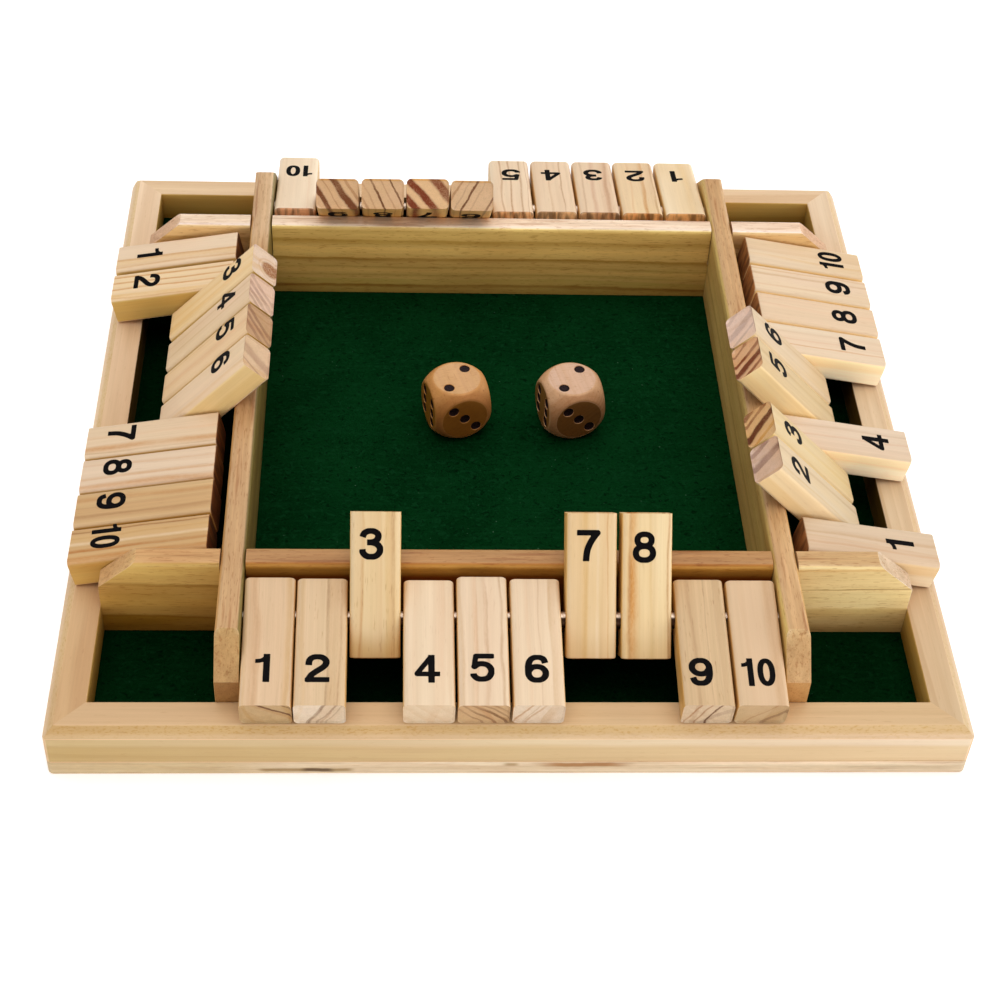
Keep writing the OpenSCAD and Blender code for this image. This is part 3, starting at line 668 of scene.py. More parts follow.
look("right", 6, [(-1.5, 3.5, 1.8, 1.4, 0.36, srgb(158, 126, 110), 1), (4.4, 9.4, 1.0, 1.0, 0.3, srgb(168, 138, 120), 1), (-5.6, -0.6, 0.5, 0.8, 0.3, srgb(158, 126, 110), 1), (1.6, 2.0, 0.6, 1.4, 0.25, TAN)], Early=srgb(221, 194, 157), Tone=GOLD, Late_amount=0.12, End=srgb(214, 200, 196))
look("right", 7, [(-3.2, -4.0, 0.5, 0.6, 0.5, ORANGE), (-0.2, -1.0, 0.8, 0.4, 0.35, PEACH), (3.0, 2.0, 1.4, 0.3, 0.2, TAN)], Late_amount=0.2, Warp=4.0, Early=srgb(230, 206, 176))
look("right", 8, [(1.0, 0.0, 2.0, 0.5, 0.25, PEACH)], Early=srgb(229, 200, 166), Late_amount=0.18, Warp=4.0)
look("right", 9, [(2.4, 1.4, 1.0, 0.8, 0.45, TAN), (4.6, 3.8, 0.6, 0.5, 0.35, ORANGE), (-2.6, -3.4, 1.4, 0.4, 0.3, PEACH)], Early=srgb(236, 206, 164), Late_amount=0.2, Warp=5.0)
look("right", 10, [(-2.0, -3.0, 1.5, 0.5, 0.3, GOLD)], Early=srgb(228, 200, 161), Tone=GOLD, Late_amount=0.25)

# where each numeral is stamped on the face that shows: across the tile, and from its free end
STAMP = {
    "front": [(-0.82, 10.14), (-0.64, 10.1), (-1.03, 7.83), (-0.51, 9.96), (-0.36, 10.27), (-0.41, 10.0), (-0.83, 7.9), (-0.77, 8.22), (-1.48, 9.2), (-0.56, 9.11)],
    "left": [(-0.65, 9.76), (-0.99, 10.03), (-2.2, 9.03), (-3.4, 10.04), (-2.8, 9.33), (-2.8, 9.95), (-1.59, 9.36), (-1.71, 9.54), (-1.79, 9.2), (-1.92, 9.15)],
    "back": [(0.07, 9.45), (-0.07, 9.64), (0.09, 9.34), (0.24, 9.99), (-0.45, 9.99), (0.0, 8.3), (0.0, 8.3), (0.0, 8.3), (0.0, 8.3), (-0.3, 9.63)],
    "right": [(-0.2, 9.87), (-0.05, 8.86), (0.77, 9.02), (-0.59, 9.5), (0.69, 8.47), (1.46, 9.44), (0.6, 9.14), (0.22, 9.52), (0.56, 9.27), (0.16, 9.38)],
}


# how much each visible end is paler or deeper than the wood about it
ENDS = {
    ("front", 1): (0.74, 0.82, 0.72), ("front", 2): (1.08, 1.38, 1.86), ("front", 3): (0.9, 0.9, 0.9), ("front", 4): (0.95, 1.08, 1.18),
    ("front", 5): (0.76, 0.73, 0.60), ("front", 6): (0.95, 1.14, 1.38), ("front", 9): (0.98, 1.08, 1.30), ("front", 10): (0.78, 0.85, 0.80),
    ("left", 3): (1.09, 1.34, 2.2), ("left", 4): (1.06, 1.18, 1.44), ("left", 5): (0.92, 1.00, 1.06), ("left", 6): (1.06, 1.18, 1.28),
    ("back", 1): (1.36, 2.20, 2.90), ("back", 2): (1.32, 2.10, 2.70), ("back", 3): (1.68, 2.40, 2.70), ("back", 4): (1.46, 2.00, 2.20),
    ("back", 5): (1.30, 1.90, 2.10), ("back", 10): (1.46, 2.40, 2.70), ("back", 6): (1.24, 1.44, 1.54), ("back", 7): (0.94, 0.92, 0.86), ("back", 8): (1.16, 1.30, 1.54), ("back", 9): (1.24, 1.42, 1.70),
    ("right", 2): (1.52, 1.64, 2.1), ("right", 3): (1.26, 1.28, 1.46), ("right", 5): (1.66, 1.80, 2.2), ("right", 6): (1.72, 1.92, 2.5),
}
# painted light and shade on the inner ends: deeper brown as in shade, paler on the flat back tiles
INNER_END_PAINTED_LIGHT_AND_SHADE = {"front": (0.62, 0.40, 0.22), "left": (0.23, 0.108, 0.02), "back": (1.72, 2.45, 2.6), "right": (0.62, 0.40, 0.22)}
# painted light and shade on the long sides: deeper and yellower as sides in shade, paler on the right-hand tiles as
# sides in light
SIDE_PAINTED_LIGHT_AND_SHADE = {"front": (0.92, 0.80, 0.48), "left": (0.78, 0.69, 0.37), "back": (0.90, 0.78, 0.46), "right": (1.18, 1.24, 1.14)}
SIDE_PAINTED_LIGHT_AND_SHADE_ONE = {
    ("left", 2): (0.76, 0.66, 0.30), ("left", 10): (0.90, 0.88, 0.52), ("left", 6): (1.02, 1.04, 0.77), ("right", 5): (1.38, 1.48, 1.52),
    ("right", 2): (1.24, 1.30, 1.36), ("right", 7): (1.42, 1.60, 1.60), ("right", 4): (1.40, 1.58, 1.56), ("right", 1): (1.12, 1.22, 1.20),
}


# the face with the numeral that shows, against the wood under it
FACES_TINT = {
    ("front", 1): (0.92, 0.93, 0.90), ("front", 2): (0.93, 0.92, 0.88), ("front", 3): (0.93, 0.93, 0.93), ("front", 4): (0.97, 0.97, 0.95),
    ("front", 5): (0.96, 0.96, 0.95), ("front", 6): (0.97, 0.97, 0.96), ("front", 7): (0.91, 0.91, 0.91), ("front", 8): (0.93, 0.93, 0.93),
    ("front", 9): (0.96, 0.96, 0.95), ("front", 10): (0.93, 0.92, 0.90),
    ("back", 6): (1.10, 0.94, 0.50), ("back", 7): (1.14, 0.96, 0.48), ("back", 8): (1.14, 0.96, 0.46), ("back", 9): (1.12, 0.95, 0.48),
    ("back", 1): (1.04, 1.05, 1.09), ("back", 10): (1.04, 1.06, 1.04),
    ("right", 1): (0.95, 0.96, 0.96), ("right", 2): (0.87, 0.89, 0.93), ("right", 3): (0.87, 0.88, 0.85), ("right", 4): (0.96, 0.96, 0.97),
    ("right", 5): (0.85, 0.84, 0.80), ("right", 6): (0.87, 0.87, 0.87), ("right", 9): (0.95, 0.98, 1.08), ("right", 10): (0.99, 1.0, 1.08),
}


def tile_bands(bands, seed, ends, inner_end_painted_light_and_shade, side_painted_light_and_shade, knot=None, face=None, contrast=(0.5, 1.08), foot=0.0):
    def paint(t, color, co, no):
        x, y, z = co
        sawn = t.step(t.m("ABSOLUTE", no[1]), 0.4, 0.7)
        at = t.join(t.m("ADD", x, seed * 3.7), t.m("ADD", y, seed * 11.1), z)
        wob = t.m("ADD", t.m("MULTIPLY", t.m("SUBTRACT", t.noise(at, (0.10, 0.035, 0.10), 1.5), 0.5), 2.6),
                  t.m("MULTIPLY", t.m("SUBTRACT", t.noise(at, (0.7, 0.12, 0.7), 3.0, 0.6), 0.5), 0.55))
        fade = t.step(t.noise(at, (0.12, 0.05, 0.12), 2.0), 0.3, 0.6, 0.55, 1.0)
        grit = t.step(t.noise(at, (3.0, 0.8, 3.0), 2.0, 0.6), 0.35, 0.62, 0.78, 1.0)
        fade = t.m("MULTIPLY", fade, grit)
        c = color
        for a, b, before, after, strength, colour, *only in bands:
            run = math.hypot(a - b, TILE_T)
            k, q, d0 = TILE_T / run, -(a - b) / run, -((a + b) / 2) * TILE_T / run
            d = t.m("ADD", t.m("MULTIPLY_ADD", x, k, d0), t.m("MULTIPLY_ADD", z, q, wob))
            m_ = t.m("MULTIPLY", t.step(d, -before, 0.0), t.step(d, 0.0, after, 1.0, 0.0))
            m_ = t.m("MULTIPLY", m_, t.m("MULTIPLY_ADD", sawn, 1.0, 1.0), clamp=True)
            # some show on the sawn ends alone
            power = t.m("MULTIPLY_ADD", sawn, 1.13 * strength, 0.12 * strength) if only else strength * 1.25
            m_ = t.m("MULTIPLY", t.m("MULTIPLY", m_, fade), power, clamp=True)
            tint = tuple(min(1.0, u / v) for u, v in zip(colour[:3], CREAM[:3]))
            c = t.mix(m_, c, t.vm("MULTIPLY", c, tint)) if colour is not PALE else t.mix(m_, c, colour)
        if knot is not None:
            kx, kz, kr = knot
            rr = t.vm("LENGTH", t.join(t.m("SUBTRACT", x, kx), t.m("MULTIPLY", t.m("ADD", y, 26.4), 0.25), t.m("SUBTRACT", z, kz)))
            rr = t.m("ADD", rr, t.m("MULTIPLY", wob, 0.5))
            rings = t.m("MULTIPLY_ADD", t.m("SINE", t.m("MULTIPLY", rr, 5.5)), 0.05, 0.95)
            crumb = t.step(t.noise(at, (1.9, 1.9, 1.9), 3.0, 0.7), 0.4, 0.6, 0.62, 1.0)
            spot = t.m("MULTIPLY", t.step(rr, kr, kr * 0.6), t.m("MULTIPLY", rings, crumb))
            c = t.mix(spot, c, srgb(140, 77, 29))
            c = t.mix(t.step(t.m("ABSOLUTE", t.m("SUBTRACT", rr, kr * 1.1)), 0.55, 0.0, 0.0, 0.45), c, t.vm("MULTIPLY", c, (0.8, 0.62, 0.45)))
        if face is not None:
            sign, tint = face
            c = t.mix(t.step(t.m("MULTIPLY", no[2], sign), 0.4, 0.8), c, t.vm("MULTIPLY", c, tint))
        # painted shade: a darker, browner foot on a raised front tile, below the rod and higher up its corners
        if foot:
            painted_foot_shade = t.m("MULTIPLY", t.step(t.m("ADD", t.m("ADD", y, t.m("MULTIPLY", t.m("ABSOLUTE", x), 0.35)), t.m("MULTIPLY", wob, 1.2)), 2.5, 9.5), foot)
            c = t.mix(painted_foot_shade, c, t.vm("MULTIPLY", c, (0.74, 0.60, 0.36)))
        # painted light and shade on the long sides
        side = t.step(t.m("ABSOLUTE", no[0]), 0.78, 0.97)
        c = t.mix(side, c, t.vm("MULTIPLY", c, side_painted_light_and_shade))
        gold = t.m("MULTIPLY", t.step(t.m("ADD", z, t.m("MULTIPLY", wob, 0.6)), -0.4, 1.0), t.step(t.noise1(seed * 3.1), 0.4, 0.6, 0.35, 0.8))
        c = t.mix(t.m("MULTIPLY", gold, side), c, t.vm("MULTIPLY", c, (0.97, 0.86, 0.66)))
        # the inner ends: painted light and shade, with faint lines
        inner = t.step(no[1], 0.6, 0.9)
        lines = t.step(t.noise(at, (0.55, 0.05, 0.12), 2.0, 0.5), 0.38, 0.62, contrast[0], contrast[1])
        inner_end_painted = t.vm("MULTIPLY", t.vm("MULTIPLY", c, inner_end_painted_light_and_shade), t.join(lines, lines, lines))
        c = t.mix(inner, c, inner_end_painted)
        return t.mix(t.step(no[1], -0.4, -0.7), c, t.vm("MULTIPLY", c, ends))
    return paint


def tile_edge(off):
    def mask(t, x, y, z):
        ex = t.m("MAXIMUM", t.m("SUBTRACT", t.m("ABSOLUTE", x), TILE_W / 2 - TILE_R), 0.0)
        ez = t.m("MAXIMUM", t.m("SUBTRACT", t.m("ABSOLUTE", t.m("SUBTRACT", z, off)), TILE_T / 2 - TILE_R), 0.0)
        return t.m("MULTIPLY", ex, ez, clamp=True)
    return mask


# ------------------------------------------------------------------- tiles
def tile_piece(side, n):
    off, more, slack = OFF[side][n - 1], MORE[side][n - 1], SLACK[side][n - 1]
    up = n in UP[side]
    name = f"tile_{side}_{n}"
    seed = LOOKS[(side, n)]["Seed"]
    rnd = lambda k: noise.noise(Vector((seed * 1.7 + 0.31, k * 3.11 + 0.7, 0.5)))
    M = place(TURN[side], ((n - 5.5) * PITCH + slack, -ROD_OUT, ROD_Z), -90 - lean(off) if up else flat_tilt(off))
    y0, y1 = -(TILE_L - HOLE_IN), HOLE_IN + more
    b0, b1 = 0.42, 0.5
    stations = []
    for k in range(4):
        a = math.radians(90 * k / 3)
        stations.append((y0 + b0 * (1 - math.sin(a)), b0 * (1 - math.cos(math.pi / 2 - a))))
    inner = 22
    for k in range(1, inner):
        stations.append((y0 + b0 + (y1 - y0 - b0 - b1) * k / inner, 0.0))
    for k in range(4):
        a = math.radians(90 * k / 3)
        stations.append((y1 - b1 * (1 - math.cos(math.pi / 2 - a)) if False else y1 - b1 + b1 * math.sin(a), b1 * (1 - math.cos(a))))
    # the free end is sawn a little out of square
    skew_x, skew_z = 0.012 * rnd(1), 0.012 * rnd(2)
    rings = []
    for y, inset in stations:
        ring = []
        for x, z in rounded_section(TILE_W / 2 - inset, TILE_T / 2 - inset, TILE_R - inset * 0.6):
            near = max(0.0, 1 - (y - y0) / 6.0)
            yy = y + near * (skew_x * x + skew_z * z + abs(skew_x) * TILE_W / 2 + abs(skew_z) * TILE_T / 2)
            # slightly worn faces, never outside the nominal ones
            w = 0.5 + 0.5 * noise.noise(Vector((x * 0.17 + seed, y * 0.09, z * 0.2 + seed * 0.3)))
            k = 1 - 0.008 * w
            ring.append((x * k, yy, z * k + off))
        rings.append(ring)
    verts, faces = loft(rings)
    # the raised back tiles' inner ends take the painted shade of the front ones
    wood = wood_material(name + "_pine", "y", LOOKS[(side, n)], tile_edge(off),
                         after=tile_bands(BANDS[(side, n)], seed, ENDS.get((side, n), (1.0, 1.0, 1.0)),
                                          (0.62, 0.40, 0.22) if up and side == "back" else INNER_END_PAINTED_LIGHT_AND_SHADE[side], SIDE_PAINTED_LIGHT_AND_SHADE_ONE.get((side, n), SIDE_PAINTED_LIGHT_AND_SHADE[side]),
                                          (0.2, 2.5, 3.7) if (side, n) == ("left", 3) else None,
                                          (-1.0 if up and side != "back" else 1.0, FACES_TINT[(side, n)]) if (side, n) in FACES_TINT else None,
                                          (0.45, 1.3) if side == "back" and not up else (0.5, 1.08),
                                          (0.75 if n == 3 else 0.3) if side == "front" and up else 0.0))
    ob = make(name + "_wood", verts, faces, [wood, INK], matrix=M)
    # rod hole with a small countersink
    r = ROD_D / 2 + TILE_CLEAR
    hw = TILE_W / 2
    rings = []
    for x, rr in ((-hw - 0.5, r + 0.75), (-hw + 0.25, r), (hw - 0.25, r), (hw + 0.5, r + 0.75)):
        rings.append([(x, rr * math.cos(2 * math.pi * k / 32), rr * math.sin(2 * math.pi * k / 32)) for k in range(32)])
    v, f = loft(rings)
    boolean(ob, make("cutter", v, f, [wood]))
    # numerals: a thin film of ink on both faces
    flat, tris, border = GLYPHS[str(n)]
    V, F = [], []
    wide = 1.02 if n == 10 else 1.05
    for face in (1, -1):
        gx0, gy0 = STAMP[side][n - 1] if (face < 0) == up else (0.2 * rnd(5), 9.6 if face > 0 else 8.3)
        cy = y0 + gy0
        zt, zb = TILE_T / 2 + 0.025, TILE_T / 2 - 0.15
        start = len(V)
        for zz in (zt, zb):
            for gx, gy in flat:
                V.append((gx0 + gx * wide, cy + gy * 0.955 * face, zz * face + off))
        m = len(flat)
        F += [tuple(start + a for a in tri) for tri in tris]
        F += [tuple(start + m + a for a in reversed(tri)) for tri in tris]
        F += [(start + b, start + a, start + m + a, start + m + b) for a, b in border]
    ink = make(name + "_ink", V, F, [INK], matrix=M)
    shade(ob)
    shade(ink)
    # one piece: the wood with its ink
    me = ob.data
    bm = bmesh.new()
    bm.from_mesh(me)
    n0 = len(bm.faces)
    bm.from_mesh(ink.data)
    bm.faces.ensure_lookup_table()
    for fc in bm.faces[n0:]:
        fc.material_index = 1
    bm.to_mesh(me)
    bm.free()
    old = ink.data
    bpy.data.objects.remove(ink)
    bpy.data.meshes.remove(old)
    shade(ob)
    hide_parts(name)
    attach(ob, name)
    return ob


for _s in SIDES:
    for _n in range(1, 11):
        tile_piece(_s, _n)


# --------------------------------------------------------------- rim rails
def arc(cx, cz, r, a0, a1, n):
    return [(cx + r * math.cos(math.radians(a0 + (a1 - a0) * k / n)), cz + r * math.sin(math.radians(a0 + (a1 - a0) * k / n))) for k in range(n + 1)]


def round_poly(pts, radii, n=5):
    """A closed polygon with its corners rounded off, each by its own radius."""
    out = []
    m = len(pts)
    for i in range(m):
        p = Vector(pts[i])
        a = (Vector(pts[i - 1]) - p).normalized()
        b = (Vector(pts[(i + 1) % m]) - p).normalized()
        r = radii[i]
        if r <= 0:
            out.append(tuple(p))
            continue
        half = a.angle(b) / 2
        d = r / math.tan(half)
        c = p + (a + b).normalized() * (r / math.sin(half))
        s, e = p + a * d - c, p + b * d - c
        ang = s.angle_signed(e)
        for k in range(n + 1):
            v = s.copy()
            v.rotate(Matrix.Rotation(-ang * k / n, 2)) if False else None
            th = ang * k / n
            x = s.x * math.cos(-th) - s.y * math.sin(-th)
            y = s.x * math.sin(-th) + s.y * math.cos(-th)
            out.append((c.x + x, c.y + y))
    return out


def divide(pts, longest):
    out = []
    for p, q in zip(pts, pts[1:] + pts[:1]):
        n = max(1, int(math.hypot(q[0] - p[0], q[1] - p[1]) / longest))
        for k in range(n):
            out.append((p[0] + (q[0] - p[0]) * k / n, p[1] + (q[1] - p[1]) * k / n))
    return out


RIM_LOOKS = {
    "front": dict(Seed=101.3),
    "back": dict(Seed=113.9),
    "left": dict(Seed=127.1, Early=srgb(241, 208, 168)),
    "right": dict(Seed=139.7, Early=srgb(237, 208, 174)),
}


def rim_look(side):
    base = {
        "Early": srgb(228, 194, 152), "Late": srgb(196, 148, 96), "Tone": srgb(220, 180, 140), "End": srgb(228, 214, 200),
        "Pith X": -60.0, "Pith Y": -46.0, "Ring": 3.4, "Late amount": 0.4, "Warp": 3.0, "Taper": 0.01, "Streak": 0.16,
        "Fleck": 0.25, "Tone amount": 0.5, "End amount": 0.7,
    }
    base.update(RIM_LOOKS[side])
    return base


def rim_after(t, color, co, no, side=None):
    """Yellower, speckled bevel, a paler side and an inner wall in painted shade."""
    x, y, z = co
    nx, ny, nz = no
    bevel = t.step(t.m("ABSOLUTE", t.m("SUBTRACT", nz, 0.748)), 0.06, 0.16, 1.0, 0.0)
    bevel = t.m("MULTIPLY", bevel, t.step(ny, -0.3, -0.5))
    speck = t.step(t.noise(t.join(t.m("MULTIPLY", x, 0.9), t.m("MULTIPLY", y, 2.2), t.m("MULTIPLY", z, 2.2)), (1, 1, 1.001), 3.0, 0.6), 0.5, 0.66)
    upper = t.step(z, RIM_TOP - 1.9, RIM_TOP - 1.1)
    c = t.mix(bevel, color, t.vm("MULTIPLY", color, t.mix(upper, (0.86, 0.86, 0.84, 1), (0.80, 0.76, 0.60, 1))))
    c = t.mix(t.m("MULTIPLY", t.m("MULTIPLY", bevel, speck), t.m("MULTIPLY_ADD", upper, 0.5, 0.3)), c, t.vm("MULTIPLY", c, (0.86, 0.76, 0.50)))
    # a tan top, a paler outer side and a deep golden inner wall in painted shade
    c = t.mix(t.step(nz, 0.86, 0.97), c, t.vm("MULTIPLY", c, (0.87, 0.84, 0.76)))
    low = t.step(t.m("ADD", z, t.m("MULTIPLY", t.noise(t.join(x, y, z), (0.03, 0.3, 0.3), 2.0), 1.6)), 12.6, 10.6)
    c = t.mix(t.step(ny, -0.86, -0.97), c, t.vm("MULTIPLY", c, t.mix(low, (0.82, 0.88, 0.90, 1), (0.74, 0.74, 0.62, 1))))
    if side == "front":
        # one end of this rail is browner than the other
        along = t.step(t.m("ADD", x, t.m("MULTIPLY", t.noise(t.join(x, 0.0, 0.0), (0.03, 1, 1), 2.0), 30.0)), -92.0, 118.0, kind="LINEAR")
        tone = t.mix(along, (0.81, 0.78, 0.60, 1), (1.16, 1.23, 1.43, 1))
        c = t.mix(t.step(ny, -0.8, -0.95), c, t.vm("MULTIPLY", c, tone))
        c = t.mix(t.m("MULTIPLY", bevel, 0.45), c, t.vm("MULTIPLY", c, tone))
    # each rail's top drifts in tone along its length
    if side != "front":
        ends = {"back": ((1.21, 1.28, 1.48, 1), (1.19, 1.26, 1.44, 1)), "left": ((1.16, 1.22, 1.43, 1), (0.87, 0.79, 0.69, 1)),
                "right": ((0.92, 0.92, 0.89, 1), (1.13, 1.18, 1.30, 1))}[side]
        drift = t.m("ADD", x, t.m("MULTIPLY", t.m("SUBTRACT", t.noise(t.join(x, y, 0.0), (0.02, 0.2, 1), 2.0), 0.5), 40.0))
        c = t.mix(t.step(nz, 0.6, 0.97), c, t.vm("MULTIPLY", c, t.mix(t.step(drift, -105.0, 85.0, kind="LINEAR"), *ends)))
    # painted shade: the inner wall is darker towards the felt, less so on the back rail, and near black in its middle,
    # under the tiles
    wall = t.mix(t.step(z, 7.0, 15.0, kind="LINEAR"), (0.34, 0.27, 0.06, 1), (0.76, 0.68, 0.27, 1))
    if side == "back":
        wall = t.vm("MULTIPLY", wall, (1.5, 1.6, 1.9))
    wall = t.mix(t.step(t.m("ABSOLUTE", x), 71.0, 66.0), wall, (0.14, 0.10, 0.02, 1))
    return t.mix(t.step(ny, 0.5, 0.9), c, t.vm("MULTIPLY", c, wall))


def outline(inset=0.0):
    """The game's plan, with sharper corners in front than behind."""
    h, plan = SIDE / 2, []
    for sx, sy, a0, r in ((1, 1, 0, CORNER_R), (-1, 1, 90, CORNER_R), (-1, -1, 180, FRONT_R), (1, -1, 270, FRONT_R)):
        plan += arc(sx * (h - r), sy * (h - r), r - inset, a0, a0 + 90, 10)
    return plan


def rim_piece(side):
    name = f"frame_rail_{side}"
    h = SIDE / 2
    sec = round_poly([(-h, BOARD_T), (-RIM_IN, BOARD_T), (-RIM_IN, RIM_TOP), (-h + BEVEL_IN, RIM_TOP), (-h, RIM_TOP - BEVEL_DOWN)],
                     [0.22, 0.1, 0.45, 0.7, 0.7], 4)
    sec = divide(sec, 1.6)
    n = 90
    rings = []
    for k in range(n + 1):
        u = -1 + 2 * k / n
        ring = []
        for y, z in sec:
            ring.append((u * abs(y), y, z))
        rings.append(ring)
    verts, faces = loft(rings)
    mat = wood_material(name + "_pine", "x", rim_look(side), after=lambda t, c, co, no: rim_after(t, c, co, no, side))
    ob = make(name + "_wood", verts, faces, [mat], matrix=place(TURN[side]))
    # the rounded upright corners
    turned = Matrix.Rotation(math.radians(-TURN[side]), 3, "Z")
    plan = [(turned @ Vector((x, y, 0.0)))[:2] for x, y in outline()]
    v, f = loft([[(x, y, z) for x, y in plan] for z in (BOARD_T - 1, RIM_TOP + 1)])
    boolean(ob, make("cutter", v, f, [mat]), "INTERSECT")
    shade(ob, 30)
    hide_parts(name)
    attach(ob, "tray")
    return ob


for _s in SIDES:
    rim_piece(_s)


# ------------------------------------------------------------------- board
def board_material():
    def layers(t, color, co, no):
        x, y, z = co
        side = t.step(t.m("ABSOLUTE", no[2]), 0.5, 0.3)
        wob = t.m("MULTIPLY_ADD", t.noise(t.join(x, y, 0.0), (0.05, 0.05, 1), 2.0), 0.3, z)
        # five plies: the cross plies show greyer end grain between thin glue lines
        f = t.m("FRACT", t.m("DIVIDE", t.m("SUBTRACT", wob, 0.15), 1.6))
        glue = t.m("SUBTRACT", 1.0, t.step(t.m("ABSOLUTE", t.m("SUBTRACT", f, 0.5)), 0.02, 0.07))
        cross = t.step(t.m("ABSOLUTE", t.m("SUBTRACT", wob, 2.55)), 0.75, 0.85, 1.0, 0.0)
        grain = t.noise(t.join(x, y, t.m("MULTIPLY", z, 2.2)), (0.35, 0.35, 1.0), 4.0, 0.65)
        c = t.vm("SCALE", color, scale=t.m("MULTIPLY_ADD", grain, 0.34, 0.84))
        c = t.mix(t.m("MULTIPLY", cross, 0.35), c, t.vm("MULTIPLY", c, (0.86, 0.82, 0.76)))
        dark = t.step(t.noise(t.join(x, y, t.m("MULTIPLY", z, 1.6)), (0.06, 0.06, 1.0), 3.0, 0.6), 0.56, 0.7)
        c = t.mix(t.m("MULTIPLY", dark, 0.45), c, srgb(176, 124, 88))
        c = t.mix(t.m("MULTIPLY", glue, 0.25), c, srgb(150, 108, 74))
        # a paler edge all round, browner at one end of the front
        c = t.vm("MULTIPLY", c, (0.97, 1.11, 1.32))
        front = t.step(no[1], -0.5, -0.8)
        c = t.mix(t.m("MULTIPLY", front, t.step(x, -52.0, -76.0)), c, t.vm("MULTIPLY", c, (0.84, 0.80, 0.66)))
        # open gaps, stained veneer and a pale ply line on the front edge
        bend = t.m("MULTIPLY_ADD", t.noise(t.join(x, 0.0, 0.0), (0.11, 1, 1), 3.0, 0.6), 0.9, t.m("SUBTRACT", z, 0.45))
        for x0, x1, soft, z0, half, tint, much in (
                (30.0, 112.5, 14.0, 4.15, 0.8, (1.24, 1.24, 1.30), 0.9), (-34.0, 30.0, 12.0, 4.2, 0.6, (1.10, 1.14, 1.2), 0.6),
                (78.0, 112.5, 8.0, 2.1, 1.25, (0.83, 0.79, 0.76), 0.8),
                (3.0, 31.5, 9.0, 3.5, 1.15, (0.54, 0.34, 0.18), 1.0), (-2.9, 2.2, 2.0, 3.6, 0.8, (0.55, 0.45, 0.30), 0.85),
                (-62.5, -37.5, 3.0, 1.6, 0.85, (0.50, 0.42, 0.26), 0.95), (-52.0, -42.5, 2.5, 1.55, 0.9, (0.30, 0.22, 0.12), 0.95)):
            a = t.m("MULTIPLY", t.step(x, x0, x0 + soft), t.step(x, x1, x1 - soft))
            a = t.m("MULTIPLY", a, t.step(t.m("ABSOLUTE", t.m("SUBTRACT", bend, z0)), half, half * 0.35))
            c = t.mix(t.m("MULTIPLY", t.m("MULTIPLY", a, front), much), c, t.vm("MULTIPLY", c, tint))
        return t.mix(side, color, c)

    look_ = {
        "Seed": 211.7, "Early": srgb(216, 184, 142), "Late": srgb(198, 154, 108), "Tone": srgb(208, 170, 128), "End": srgb(255, 255, 255),
        "Pith X": 8.0, "Pith Y": -90.0, "Ring": 5.5, "Late amount": 0.45, "Warp": 9.0, "Taper": 0.02, "Streak": 0.2,
        "Fleck": 0.35, "Tone amount": 0.5, "End amount": 0.0,
    }
    return wood_material("board_plywood", "x", look_, after=layers)


def board_piece():
    b = 0.35
    rings = []
    for z, inset in ((0, b), (0.1, b * 0.4), (b, 0), (BOARD_T - b * 1.1, 0), (BOARD_T - 0.12, b * 0.35), (BOARD_T, b)):
        plan = divide(outline(inset), 6.0)
        rings.append([(x, y, z) for x, y in plan])
    v, f = loft(rings)
    ob = make("base_board_ply", v, f, [board_material()])
    shade(ob, 40)
    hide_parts("base_board")
    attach(ob, "tray")


board_piece()


